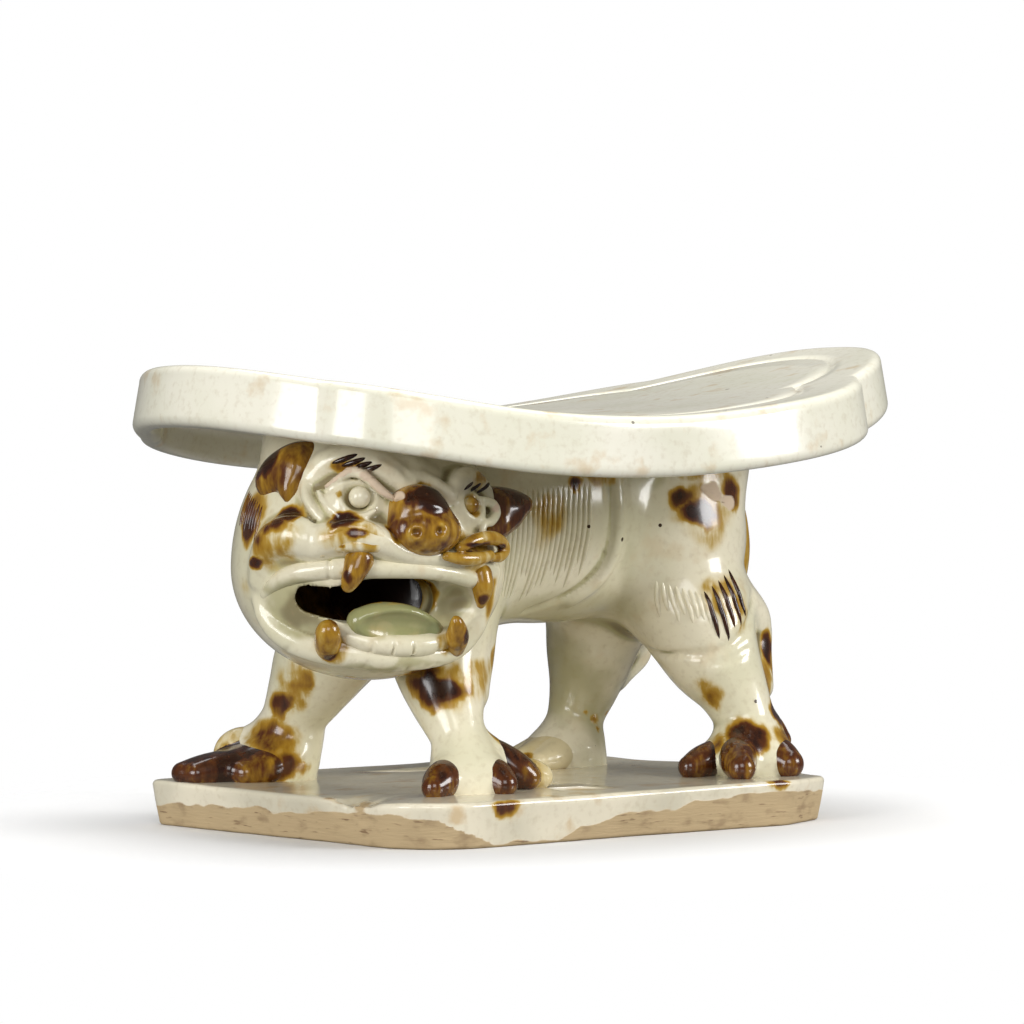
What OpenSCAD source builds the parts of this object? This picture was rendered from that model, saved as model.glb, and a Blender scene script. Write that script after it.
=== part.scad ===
// Ceramic lion pillow: a lobed, saddle-shaped headrest carried by a standing lion on a slab base.
// The lion walks toward -X with its head turned to its left, toward -Y. +Z is up, in millimetres.
// The origin is on the table, under the centre of the headrest.

/* [Headrest] */
// Length of the top face, end to end
rest_length = 190; // [176:1:210]
// Width of the top face across the two side lobes
rest_width = 135; // [126:1:150]
// Half-length of a lobe at either end
end_lobe_reach = 45.5; // [40:0.5:50]
// Half-width of a lobe at either end
end_lobe_half_width = 43; // [38:0.5:48]
// Half-length of a lobe along either side
side_lobe_half_length = 81; // [70:1:86]
// Distance that a side lobe bulges from its own centre line
side_lobe_bulge = 41.5; // [36:0.5:48]
// Height of the lowest point of the seat above the table
seat_height = 94; // [90:0.5:104]
// Radius of the saddle curve along the headrest
saddle_radius = 295; // [240:5:400]
// Distance of the lowest point of the saddle from the centre, toward the lion's head
saddle_shift = 7; // [0:1:14]
// Thickness of the top slab
slab_thickness = 6; // [4:0.5:8]
// Depth of the turned-down rim below the top face
rim_depth = 13.5; // [10:0.5:18]
// Thickness of the rim strip
rim_wall = 5; // [3:0.5:7]
// Outward lean of the rim at the two ends, in degrees
rim_lean = 9; // [0:1:18]

/* [Base] */
// Thickness of the base slab
base_thickness = 10.5; // [7:0.5:15]
// Reach of the base toward the lion's head
base_front = 74; // [72:1:86]
// Reach of the base toward the lion's tail
base_rear = 64; // [63:1:76]
// Reach of the base toward the side that the face looks at
base_near = 52; // [46:1:60]
// Reach of the base toward the other side
base_far = 52; // [50:1:62]

/* [Body] */
// Drop of the belly below the lowest point of the seat
belly_drop = 51; // [46:0.5:54]
// Half-width of the barrel of the body
body_half_width = 22; // [19:0.5:26]
// Distance of the rump from the centre
rump_reach = 65; // [60:0.5:72]
// Distance of the chest from the centre
chest_reach = 44; // [38:0.5:52]
// Wall of the hollow body
body_wall = 5; // [3:0.5:8]

/* [Head] */
// Half-width of the head across the cheeks
head_half_width = 31; // [28:0.5:34]
// Half-depth of the head from nape to muzzle
head_half_depth = 28; // [25:0.5:31]
// Drop of the middle of the head below the lowest point of the seat
head_drop = 34; // [30:0.5:37]
// Drop of the chin below the middle of the head
chin_drop = 24; // [22:0.5:27]
// Distance of the middle of the head from the centre, along the body
head_forward = 50; // [47:0.5:55]
// Distance of the middle of the head from the centre, across the body
head_aside = 12; // [8:0.5:16]
// Turn of the face past square to the body, in degrees
head_turn = 8; // [0:1:15]
// Wall of the hollow head
head_wall = 5; // [3:0.5:7]
// Half-width of the mouth between its corners
mouth_half_width = 28.5; // [24:0.5:30]
// Height of the open mouth at its middle
mouth_gape = 16; // [12:0.5:19]
// Drop of the middle of the mouth below the middle of the head
mouth_drop = 7; // [5:0.5:9]
// Thickness of the rolled lips
lip_roll = 5.5; // [4:0.5:7]
// Length of an upper fang
upper_fang = 8; // [5:0.5:10]
// Length of a lower fang
lower_fang = 7; // [4:0.5:9]
// Width of the nose
nose_width = 16.5; // [13:0.5:20]
// Diameter of an eyeball
eye_diameter = 6.5; // [5:0.5:8]
// Length of an ear
ear_length = 17; // [13:0.5:20]

/* [Legs] */
// Radius of a foreleg at its narrowest
foreleg_radius = 7; // [6:0.25:8.5]
// Radius of a hind leg at its narrowest
hindleg_radius = 7.5; // [6:0.25:9]
// Thickness of a toe
toe_thickness = 8.5; // [6:0.5:10]
// Length of the hanging tail
tail_length = 26; // [18:1:32]
// Thickness of the tail
tail_thickness = 7; // [5:0.5:9]

/* [Hidden] */

glaze = "#e6e3d3";
iron = "#5a2a12";
celadon = "#b9c3a4";
clay = "#c9ad8a";

// Points round the headrest outline and rings along a lofted form
outline_steps = 120;
round_steps = 18;
corner_steps = 6;
// A form that another one trims runs this far into it
sink = 3;
// The middle of a roll on the face stands this far off the surface
roll_stand = 0.5;
// Longer than the whole pillow, for cutting tools
span = 2 * rest_length;

end_lobe_centre = rest_length / 2 - end_lobe_reach;
side_lobe_centre = rest_width / 2 - side_lobe_bulge;
side_lobe_shift = 3.5;
saddle_axis = seat_height + saddle_radius;
belly_height = seat_height - belly_drop;
head_height = seat_height - head_drop;
head_place = [-head_forward, -head_aside, head_height];

// Corners of the base, anticlockwise from the far front one: shares of its reaches, and rounding
base_corners = [[-1, 0.85, 4], [-0.84, -0.92, 18], [0.66, -1, 10], [0.91, -0.88, 4],
    [1, -0.23, 20], [0.77, 0.88, 20]];

// Height of the flank line, where the body is widest
flank_rise = 24;
flank_height = belly_height + flank_rise;
body_squareness = 0.8;
// Along the body from chest to rump: place, share of the half-width, share of the drop to the belly
body_stations = [[0, 0.4, 0.35], [0.04, 0.68, 0.65], [0.12, 0.88, 0.9], [0.26, 1, 1],
    [0.45, 0.97, 0.96], [0.64, 1.02, 0.95], [0.8, 1.08, 1], [0.9, 1, 0.95], [0.965, 0.8, 0.8],
    [1, 0.5, 0.5]];

// Levels of the head as shares of the chin drop and of the crown
chin_levels = [0.99, 0.94, 0.82, 0.62, 0.36];
crown_levels = [0, 0.25, 0.5, 0.75, 1];
crown_reach = 1.16 * (saddle_z(-head_forward, slab_thickness) - head_height);
crown_set_back = 8;

// The mouth is an oval whose upper edge is squared by a power above 2
upper_mouth_power = 3;
lower_mouth_power = 2;
mouth_steps = 16;
lip_steps = 8;
// Share of the half-width of the mouth that the lips follow
lip_reach = 0.97;
// Share of the lip roll between the edge of the mouth and the middle of the roll
lip_lift = 0.4;
tooth_width = 5.4;
tooth_depth = 3;
tooth_height = 3.4;
// Turn of a tooth for each millimetre from the middle, so that the row follows the face
tooth_turn = 1.5;
upper_tooth_places = [-20.6, -8.6, -2.9, 2.9, 8.6, 20.6];
lower_tooth_places = [-8.6, -2.9, 2.9, 8.6];
fang_place = 14.6;
fang_radius = 2.7;
fang_tip = 0.9;
tongue_half_width = 9.5;
tongue_length = 15;
tongue_flat = 0.3;
tongue_steps = 9;
tongue_gap = 0.3;
nose_rise = 10.5;
// Along the nose from root to tip, in nose widths: place and share of the half-width
nose_stations = [[0.25, 0.9], [-0.08, 1], [-0.3, 0.86], [-0.45, 0.48]];
nostril = 2.4;
nostril_place = 3;
eye_place = 13;
eye_rise = 14.5;
brow_roll = 6;
ear_place = 18;
right_ear_rise = 22;
left_ear_rise = 17;
whisker_roll = 5.5;
whisker_length = 17;
// Along a whisker: place as a share of its length, rise, and share of the half-thickness
whisker_spots = [[0.15, 0.3, 0.6], [0.4, 0, 1], [0.75, 0, 1], [1, 1.5, 0.6]];

// Footprints on the base, hips inside the body, and headings of the paws in degrees
left_fore_foot = [-30, -26];
left_fore_hip = [-28, -9];
left_fore_heading = 255;
right_fore_foot = [-45, 30];
right_fore_hip = [-38, 14];
right_fore_heading = 180;
left_hind_foot = [50, -27];
left_hind_hip = [42, -17];
left_hind_heading = 238;
right_hind_foot = [32, 17];
right_hind_hip = [36, 13];
right_hind_heading = 184;
foot_spread = 2;
fore_haunch = [13, 10];
hind_haunch = [18, 11];
// Along a toe: place as a share of its reach and share of the half-thickness
toe_steps = [[0.2, 0.9], [0.65, 1], [0.88, 0.85], [1, 0.45]];
wide_toe_fan = [-52, 0, 52];
close_toe_fan = [-29, -1, 27];
short_toe_reach = 16;
long_toe_reach = 26;
tail_rise = 8;
tail_sway = 4;

// Small vector helpers
function unit(v) = v / norm(v);
function rounded_power(s, p) = sign(s) * pow(abs(s), p);

// Height of the saddle surface a given depth under the top face
function saddle_z(x, depth) =
    saddle_axis - sqrt(pow(saddle_radius + depth, 2) - pow(x + saddle_shift, 2));

// Distance from the middle of the headrest to the far side of one elliptical lobe,
// 0 where the direction misses it
function lobe_reach(t, cx, cy, rx, ry) =
    let (ux = cos(t) / rx, uy = sin(t) / ry, vx = cx / rx, vy = cy / ry)
    let (a = ux * ux + uy * uy, b = ux * vx + uy * vy, c = vx * vx + vy * vy - 1)
    b * b < a * c ? 0 : (b + sqrt(b * b - a * c)) / a;

// Distance from the middle of the headrest to its four-lobed outline
function rest_reach(t) = max(
    lobe_reach(t, end_lobe_centre, 0, end_lobe_reach, end_lobe_half_width),
    lobe_reach(t, -end_lobe_centre, 0, end_lobe_reach, end_lobe_half_width),
    lobe_reach(t, side_lobe_shift, side_lobe_centre, side_lobe_half_length, side_lobe_bulge),
    lobe_reach(t, side_lobe_shift, -side_lobe_centre, side_lobe_half_length, side_lobe_bulge));

function rest_point(t, grow) = (rest_reach(t) + grow) * [cos(t), sin(t)];

// One oval ring round a centre, in the plane of two directions; a power below 1 squares it
function oval(c, u, v, ru, rv, p = 1) = [for (i = [0 : round_steps - 1])
    let (t = 360 * i / round_steps)
    c + u * ru * rounded_power(cos(t), p) + v * rv * rounded_power(sin(t), p)];

// Level oval ring
function level_oval(c, rx, ry) = oval(c, [1, 0, 0], [0, 1, 0], rx, ry);

// Rings square to a path, flattened across the up direction
function path_rings(path, radii, flat, up) = [for (i = [0 : len(path) - 1])
    let (along = unit(path[min(i + 1, len(path) - 1)] - path[max(i - 1, 0)]))
    let (side = unit(cross(along, up)), rise = cross(side, along))
    oval(path[i], side, rise, radii[i], radii[i] * flat)];

// Closed skin over a stack of oval rings
module skin(rings) {
    n = len(rings[0]);
    m = len(rings);
    walls = [for (k = [0 : m - 2]) for (i = [0 : n - 1])
        let (a = k * n + i, b = k * n + (i + 1) % n)
        each [[a, b, b + n], [a, b + n, a + n]]];
    lids = [[for (i = [n - 1 : -1 : 0]) i], [for (i = [0 : n - 1]) (m - 1) * n + i]];
    polyhedron(points = [for (r = rings) each r], faces = concat(walls, lids));
}

// Loft through a stack of parallel rings, drawn tight from each ring to the next
module loft(rings) {
    for (i = [0 : len(rings) - 2])
        hull() skin([rings[i], rings[i + 1]]);
}

// Roll of clay that follows a path
module roll(path, radii, flat = 1, up = [0, 0, 1]) {
    skin(path_rings(path, radii, flat, up));
}

// Closed skin over rings that run round a loop
module loop_skin(rings) {
    n = len(rings[0]);
    m = len(rings);
    walls = [for (j = [0 : m - 1]) for (i = [0 : n - 1])
        let (k = (j + 1) % m, l = (i + 1) % n)
        let (a = j * n + i, b = j * n + l, c = k * n + l, d = k * n + i)
        each [[a, c, b], [a, d, c]]];
    polyhedron(points = [for (r = rings) each r], faces = walls);
}

module saddle_cylinder(depth) {
    translate([-saddle_shift, 0, saddle_axis])
        rotate([90, 0, 0])
            cylinder(r = saddle_radius + depth, h = span, center = true, $fn = 180);
}

module headrest_slab() {
    color(glaze)
        intersection() {
            linear_extrude(height = span)
                polygon([for (i = [0 : outline_steps - 1]) rest_point(360 * i / outline_steps, 0)]);
            difference() {
                saddle_cylinder(slab_thickness);
                saddle_cylinder(0);
            }
        }
}

module headrest_rim() {
    function corner(t, grow, depth) = let (q = rest_point(t, grow)) [q[0], q[1], saddle_z(q[0], depth)];
    color(glaze)
        loop_skin([for (i = [0 : outline_steps - 1])
            let (t = 360 * i / outline_steps, flare = rim_depth * tan(rim_lean) * abs(cos(t)))
            [corner(t, 0, slab_thickness), corner(t, flare, rim_depth),
                corner(t, flare - rim_wall, rim_depth), corner(t, -rim_wall, slab_thickness)]]);
}

// Arc that rounds one corner of an outline that runs anticlockwise
function corner_arc(a, b, c, r) =
    let (u = unit(a - b), v = unit(c - b), half = acos(u * v) / 2)
    let (centre = b + unit(u + v) * r / sin(half), from = b + u * r / tan(half) - centre)
    [for (i = [0 : corner_steps])
        let (t = atan2(from[1], from[0]) + (180 - 2 * half) * i / corner_steps)
        centre + r * [cos(t), sin(t)]];

module base_slab() {
    n = len(base_corners);
    places = [for (c = base_corners)
        [c[0] * (c[0] < 0 ? base_front : base_rear), c[1] * (c[1] < 0 ? base_near : base_far)]];
    color(clay)
        linear_extrude(height = base_thickness)
            polygon([for (i = [0 : n - 1])
                each corner_arc(places[(i + n - 1) % n], places[i], places[(i + 1) % n],
                    base_corners[i][2])]);
}

// Barrel of the body, rising through the underside of the headrest;
// inset gives its hollow, open at the top
module body_form(inset) {
    front = -chest_reach + inset;
    rear = rump_reach - inset;
    loft([for (s = body_stations)
        let (x = front + s[0] * (rear - front), wide = s[1] * (body_half_width - inset))
        let (drop = s[2] * (flank_rise - inset))
        let (rise = saddle_z(x, slab_thickness) - flank_height + sink + inset)
        [for (i = [0 : round_steps - 1])
            let (t = 360 * i / round_steps, up = rounded_power(sin(t), body_squareness))
            let (y = wide * rounded_power(cos(t), body_squareness))
            [x, y, flank_height + (up > 0 ? rise : drop) * up]]]);
}

// Half of the hollow body on one side of the spine: side -1 is the left, 1 the right
module body_half(side) {
    intersection() {
        difference() {
            body_form(0);
            body_form(body_wall);
            saddle_cylinder(slab_thickness);
            at_head() head_form(0);
        }
        translate([-span / 2, side < 0 ? -span : 0, 0])
            cube(span);
    }
}

module body_left() {
    color(glaze) body_half(-1);
}

module body_right() {
    color(glaze) body_half(1);
}

module at_head() {
    translate(head_place)
        rotate([0, 0, -head_turn])
            children();
}

// Share of the full head radius at a height above or below the middle of the head
function head_share(z) = sqrt(1 - pow(z / (z < 0 ? chin_drop : crown_reach), 2));

// The crown leans back from the face
function crown_lean(z) = z < 0 ? 0 : crown_set_back * pow(z / crown_reach, 2);

// Front of the face, at a place across and up from the middle of the head
function face_y(x, z) =
    crown_lean(z) - head_half_depth * sqrt(max(pow(head_share(z), 2) - pow(x / head_half_width, 2), 0));

// Ball of the head, rising into the underside of the headrest; inset gives its hollow
module head_form(inset) {
    top = saddle_z(-head_forward, slab_thickness) - head_height + (inset > 0 ? -inset : sink);
    levels = concat([for (f = chin_levels) -f * (chin_drop - inset)], [for (f = crown_levels) f * top]);
    loft([for (z = levels)
        let (share = z < 0 ? head_share(z * chin_drop / (chin_drop - inset)) : head_share(z))
        level_oval([0, crown_lean(z), z], share * head_half_width - inset * min(1, share * 2),
            share * head_half_depth - inset * min(1, share * 2))]);
}

// Height of the edge of the mouth: side 1 is the upper edge, -1 the lower
function mouth_edge(x, side) =
    let (p = side > 0 ? upper_mouth_power : lower_mouth_power)
    let (across = min(abs(x) / mouth_half_width, 1))
    side * mouth_gape / 2 * pow(1 - pow(across, p), 1 / p) - mouth_drop;

// Places across the mouth, closer together toward its corners
function across_mouth(steps) = [for (i = [-steps : steps]) mouth_half_width * sin(90 * i / steps)];

// Opening of the mouth, cut from the middle of the head out through the face
module mouth_slot() {
    places = across_mouth(mouth_steps);
    upper = [for (x = places) [x, mouth_edge(x, 1)]];
    lower = [for (i = [len(places) - 2 : -1 : 1]) [places[i], mouth_edge(places[i], -1)]];
    rotate([90, 0, 0])
        linear_extrude(height = 2 * head_half_depth)
            polygon(concat(upper, lower));
}

module head() {
    color(glaze)
        difference() {
            at_head()
                difference() {
                    head_form(0);
                    head_form(head_wall);
                    mouth_slot();
                }
            saddle_cylinder(slab_thickness);
        }
}

// Roll of the lip along one edge of the mouth, before it is seated
module lip_form(side) {
    places = lip_reach * across_mouth(lip_steps);
    path = [for (x = places)
        let (z = mouth_edge(x, side) + side * lip_roll * lip_lift)
        [x, face_y(x, z), z]];
    radii = [for (x = places) lip_roll / 2 * (1 - 0.45 * pow(abs(x) / mouth_half_width, 3))];
    roll(path, radii);
}

module lip(side) {
    difference() {
        lip_form(side);
        head_form(0);
        mouth_slot();
        nose_form();
    }
}

module upper_lip() {
    color(glaze) at_head() lip(1);
}

// The lower lip also makes room for the foreleg beside it
module lower_lip() {
    color(glaze)
        difference() {
            at_head() lip(-1);
            leg_form(left_fore_foot, left_fore_hip, foreleg_radius, fore_haunch);
        }
}

// Row of square teeth, each seated on the edge that the mouth cut leaves
module teeth(places, side) {
    intersection() {
        mouth_slot();
        for (x = places)
            translate([x, face_y(x, mouth_edge(x, side)) + tooth_depth / 2, mouth_edge(x, side)])
                rotate([0, 0, tooth_turn * x])
                    cube([tooth_width, tooth_depth, 2 * tooth_height], center = true);
    }
}

module upper_teeth() {
    color(glaze) at_head() teeth(upper_tooth_places, 1);
}

module lower_teeth() {
    color(glaze) at_head() teeth(lower_tooth_places, -1);
}

// Pointed fang on one edge of the mouth
module fang(x, side, length) {
    z = mouth_edge(x, side);
    intersection() {
        mouth_slot();
        translate([x, face_y(x, z) + fang_radius * 0.6, z])
            rotate([side > 0 ? 180 : 0, 0, 0])
                translate([0, 0, -sink]) {
                    cylinder(r = fang_radius, h = sink, $fn = 32);
                    translate([0, 0, sink])
                        cylinder(r1 = fang_radius, r2 = fang_tip, h = length, $fn = 32);
                }
    }
}

module upper_right_fang() {
    color(iron) at_head() fang(-fang_place, 1, upper_fang);
}

module upper_left_fang() {
    color(iron) at_head() fang(fang_place, 1, upper_fang);
}

module lower_right_fang() {
    color(iron) at_head() fang(-fang_place, -1, lower_fang);
}

module lower_left_fang() {
    color(iron) at_head() fang(fang_place, -1, lower_fang);
}

// Boat-shaped tongue lying on the lower edge of the mouth, behind the teeth
module tongue() {
    floor_z = mouth_edge(0, -1);
    front = face_y(0, floor_z) + tooth_depth + tongue_gap;
    steps = [for (i = [0 : tongue_steps]) i / tongue_steps];
    lie = floor_z + tongue_flat * tongue_half_width * 0.9;
    path = [for (f = steps) [0, front + tongue_length * f, lie]];
    radii = [for (f = steps) tongue_half_width * sqrt(1 - pow(1 - 1.5 * f, 2) * 0.75)];
    color(celadon)
        at_head()
            intersection() {
                mouth_slot();
                loft(path_rings(path, radii, tongue_flat, [0, 0, 1]));
            }
}

// Bulb of the nose, before it is seated
module nose_form() {
    y = face_y(0, nose_rise);
    path = [for (s = nose_stations) [0, y + s[0] * nose_width, nose_rise]];
    roll(path, nose_width / 2 * [for (s = nose_stations) s[1]], 0.92);
}

// Broad nose with two nostril pits
module nose() {
    color(iron)
        at_head()
            difference() {
                nose_form();
                head_form(0);
                for (x = [-nostril_place, nostril_place])
                    translate([x, face_y(0, nose_rise) - nose_width * 0.25, nose_rise])
                        rotate([90, 0, 0])
                            cylinder(d = nostril, h = nose_width, $fn = 24);
            }
}

module eyeball(side) {
    x = side * eye_place;
    difference() {
        translate([x, face_y(x, eye_rise), eye_rise]) sphere(d = eye_diameter, $fn = 32);
        head_form(0);
    }
}

module right_eyeball() {
    color(glaze) at_head() eyeball(-1);
}

module left_eyeball() {
    color(glaze) at_head() eyeball(1);
}

// Arched brow roll over one eye
module brow(side) {
    low = eye_rise + eye_diameter / 2;
    spots = [[0.35, 1], [0.7, 4], [1.1, 5.5], [1.5, 4], [1.8, 0]];
    path = [for (s = spots)
        let (x = side * s[0] * eye_place, z = low + s[1])
        [x, face_y(x, z) - roll_stand, z]];
    difference() {
        roll(path, brow_roll / 2 * [0.6, 0.9, 1, 0.9, 0.5]);
        head_form(0);
        ear_form(side);
    }
}

module right_brow() {
    color(glaze) at_head() brow(-1);
}

module left_brow() {
    color(glaze) at_head() brow(1);
}

// Leaf-shaped ear, before it is seated
module ear_form(side) {
    rise = side < 0 ? right_ear_rise : left_ear_rise;
    root = [side * ear_place, face_y(ear_place, rise) * 0.55, rise];
    reach = ear_length * [side * 0.9, 0, -0.35];
    path = [for (f = [-0.25, 0.15, 0.5, 0.8, 1]) root + f * reach];
    roll(path, ear_length * [0.25, 0.4, 0.42, 0.3, 0.1], 0.55, [0, -1, 0.3]);
}

// Ear standing out from the side of the head, trimmed where it meets the body
module ear(side) {
    difference() {
        at_head()
            difference() {
                ear_form(side);
                head_form(0);
            }
        body_form(0);
    }
}

module right_ear() {
    color(iron) ear(-1);
}

module left_ear() {
    color(iron) ear(1);
}

// Curl of the moustache beside the nose, lying on the upper lip
module whisker(side) {
    lift = lip_roll * (lip_lift + 0.5) + whisker_roll / 2;
    path = [for (s = whisker_spots)
        let (x = side * (nose_width / 2 + s[0] * whisker_length), z = mouth_edge(x, 1) + lift + s[1])
        [x, face_y(x * 0.85, z) - roll_stand, z]];
    difference() {
        roll(path, whisker_roll / 2 * [for (s = whisker_spots) s[2]]);
        head_form(0);
    }
}

module right_whisker() {
    color(iron) at_head() whisker(-1);
}

module left_whisker() {
    color(iron) at_head() whisker(1);
}

// Leg from its footprint on the base to its haunch, an oval that swells out of the side of the body
module leg_form(foot, hip, narrow, haunch) {
    rise = belly_height - base_thickness;
    round = [narrow, narrow];
    spread = [foot_spread, foot_spread];
    stations = [[0, round + spread], [0.14, round + 0.8 * spread], [0.34, round], [0.55, round],
        [0.78, (round + haunch) / 2], [1.05, haunch], [1.45, haunch], [1.63, 0.88 * haunch],
        [1.75, 0.7 * haunch]];
    loft([for (s = stations)
        let (f = min(s[0], 1), q = foot + f * (hip - foot))
        level_oval([q[0], q[1], base_thickness + s[0] * rise], s[1][0], s[1][1])]);
}

// A leg, seated on the base and trimmed to the body and the head
module leg(foot, hip, narrow, haunch) {
    difference() {
        leg_form(foot, hip, narrow, haunch);
        body_form(0);
        at_head() head_form(0);
    }
}

module left_foreleg() {
    color(glaze) leg(left_fore_foot, left_fore_hip, foreleg_radius, fore_haunch);
}

module right_foreleg() {
    color(glaze) leg(right_fore_foot, right_fore_hip, foreleg_radius, fore_haunch);
}

module left_hindleg() {
    color(glaze) leg(left_hind_foot, left_hind_hip, hindleg_radius, hind_haunch);
}

module right_hindleg() {
    color(glaze) leg(right_hind_foot, right_hind_hip, hindleg_radius, hind_haunch);
}

// One toe: a thick roll that lies on the base and points away from the foot
module toe(foot, direction, reach) {
    ahead = [cos(direction), sin(direction), 0];
    heel = [foot[0], foot[1], base_thickness + toe_thickness * 0.42];
    path = [for (f = toe_steps) heel + f[0] * reach * ahead];
    roll(path, toe_thickness / 2 * [for (f = toe_steps) f[1]]);
}

// The toes of one paw, pinched from one lump, fanned about the way it points and trimmed to the leg
module toes(foot, hip, narrow, haunch, heading, fan, reach) {
    difference() {
        for (turn = fan)
            toe(foot, heading + turn, reach);
        leg_form(foot, hip, narrow, haunch);
        translate([-span / 2, -span / 2, base_thickness - span])
            cube(span);
    }
}

module left_fore_toes() {
    color(iron)
        toes(left_fore_foot, left_fore_hip, foreleg_radius, fore_haunch,
            left_fore_heading, wide_toe_fan, short_toe_reach);
}

module right_fore_toes() {
    color(iron)
        toes(right_fore_foot, right_fore_hip, foreleg_radius, fore_haunch,
            right_fore_heading, close_toe_fan, long_toe_reach);
}

module left_hind_toes() {
    color(iron)
        toes(left_hind_foot, left_hind_hip, hindleg_radius, hind_haunch,
            left_hind_heading, wide_toe_fan, short_toe_reach);
}

module right_hind_toes() {
    color(iron)
        toes(right_hind_foot, right_hind_hip, hindleg_radius, hind_haunch,
            right_hind_heading, wide_toe_fan, short_toe_reach);
}

// Tail roll that hangs down the rump
module tail() {
    x = rump_reach + tail_thickness * 0.3;
    top = flank_height + tail_rise;
    path = [for (f = [0, 0.15, 0.5, 0.85, 1])
        [x - (f < 0.1 ? sink : 0), f * tail_sway, top - f * tail_length]];
    color(iron)
        difference() {
            roll(path, tail_thickness / 2 * [0.7, 1, 1, 1, 0.55], 1, [1, 0, 0]);
            body_form(0);
        }
}

base_slab();
headrest_slab();
headrest_rim();
body_left();
body_right();
head();
upper_lip();
lower_lip();
upper_teeth();
lower_teeth();
upper_right_fang();
upper_left_fang();
lower_right_fang();
lower_left_fang();
tongue();
nose();
right_eyeball();
left_eyeball();
right_brow();
left_brow();
right_ear();
left_ear();
right_whisker();
left_whisker();
left_foreleg();
right_foreleg();
left_hindleg();
right_hindleg();
left_fore_toes();
right_fore_toes();
left_hind_toes();
right_hind_toes();
tail();
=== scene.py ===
"""Looks of a glazed stoneware pillow: a lobed headrest on the back of a standing lion.

The lion stands on a slab base and looks out over its left side. Lengths are
millimetres in the part's frame, and become metres when a mesh is written.
"""

import logging
import math
from dataclasses import dataclass, field
from enum import Enum
from functools import reduce
from typing import Protocol, Sequence

import bpy
import numpy as np
from mathutils import Euler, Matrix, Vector


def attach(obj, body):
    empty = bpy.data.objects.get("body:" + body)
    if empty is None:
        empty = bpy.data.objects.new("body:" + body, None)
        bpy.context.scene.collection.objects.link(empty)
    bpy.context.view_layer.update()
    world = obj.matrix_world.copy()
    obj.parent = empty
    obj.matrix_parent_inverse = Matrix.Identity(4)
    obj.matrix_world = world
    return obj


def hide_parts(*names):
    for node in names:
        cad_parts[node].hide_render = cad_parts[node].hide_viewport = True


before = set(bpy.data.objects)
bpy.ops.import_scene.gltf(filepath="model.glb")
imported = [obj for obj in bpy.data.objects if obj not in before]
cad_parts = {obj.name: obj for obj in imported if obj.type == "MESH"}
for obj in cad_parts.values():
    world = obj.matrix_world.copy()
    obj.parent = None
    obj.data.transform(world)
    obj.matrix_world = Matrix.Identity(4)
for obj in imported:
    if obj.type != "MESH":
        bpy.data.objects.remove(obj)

LOG = logging.getLogger("lion_pillow")
MM = 0.001
BASE_TOP = 10.5
GROUND_RADIUS = 400.0

Array = np.ndarray
Point = tuple[float, float, float]
Colour = tuple[float, float, float]
Stations = Sequence[Sequence[float]]


# Numbers for the hand of the maker

HASH_STEPS = (73856093, 19349663, 83492791)
HASH_SEED = 2654435
HASH_STIR = 1274126177
HASH_TOP = 0x7FFFFFFF


def lattice_noise(points: Array, size: float, seed: int) -> Array:
    """Smooth noise that is the same on each run.

    Args:
        points: places, one a row, in millimetres.
        size: distance between one bump and the next.
        seed: number that picks the pattern.

    Returns:
        One value for each place, from -1 to 1.
    """
    scaled = points / size
    cell = np.floor(scaled).astype(np.int64)
    part = scaled - cell
    ease = part * part * (3 - 2 * part)
    total = np.zeros(points.shape[:-1])
    for corner in np.ndindex(2, 2, 2):
        node = cell + np.array(corner)
        key = np.bitwise_xor.reduce(node * np.array(HASH_STEPS), axis=-1) ^ seed * HASH_SEED
        key = (key ^ (key >> 13)) * HASH_STIR & HASH_TOP
        weight = np.prod(np.where(np.array(corner) == 1, ease, 1 - ease), axis=-1)
        total += weight * (key / (HASH_TOP // 2) - 1)
    return total


class Wave(Enum):
    """A layer of unevenness, with its size in millimetres and its seed."""

    HEADREST_EDGE = (26, 7)
    HEADREST_FACE = (30, 8)
    BASE_SIDE = (14, 21)
    BASE_NICKS = (5, 22)
    BASE_FACE = (18, 23)
    CHIP = (2.2, 24)
    GLAZE_LINE = (7, 31)
    GLAZE_DRIPS = (2.6, 32)

    def at(self, points: Array) -> Array:
        """Height of the layer at each place, from -1 to 1."""
        return lattice_noise(points, *self.value)


def smooth_step(low: float, high: float, value: Array) -> Array:
    """Ease from 0 at the low value to 1 at the high one."""
    part = np.clip((value - low) / (high - low), 0, 1)
    return part * part * (3 - 2 * part)


def through(stations: Stations, per_span: int = 6) -> Array:
    """Points on a smooth line through some stations.

    Args:
        stations: rows of numbers, of any width.
        per_span: points for each step from one station to the next.

    Returns:
        Rows of the same width, the stations among them.
    """
    knots = np.array(stations, float)
    padded = np.vstack([2 * knots[0] - knots[1], knots, 2 * knots[-1] - knots[-2]])
    rows = []
    for i in range(1, len(padded) - 2):
        a, b, c, d = padded[i - 1:i + 3]
        for t in np.arange(per_span) / per_span:
            rows.append(0.5 * (2 * b + (c - a) * t + (2 * a - 5 * b + 4 * c - d) * t**2
                               + (3 * b - a - 3 * c + d) * t**3))
    rows.append(knots[-1])
    return np.array(rows)


# Shapes of clay


class Shape(Protocol):
    """A solid that can be added to a clay model or cut from it."""

    def box(self) -> tuple[Array, Array]:
        """Lowest and highest corner."""

    def distance(self, points: Array) -> Array:
        """Distance of each place from the skin, below 0 inside."""


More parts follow.
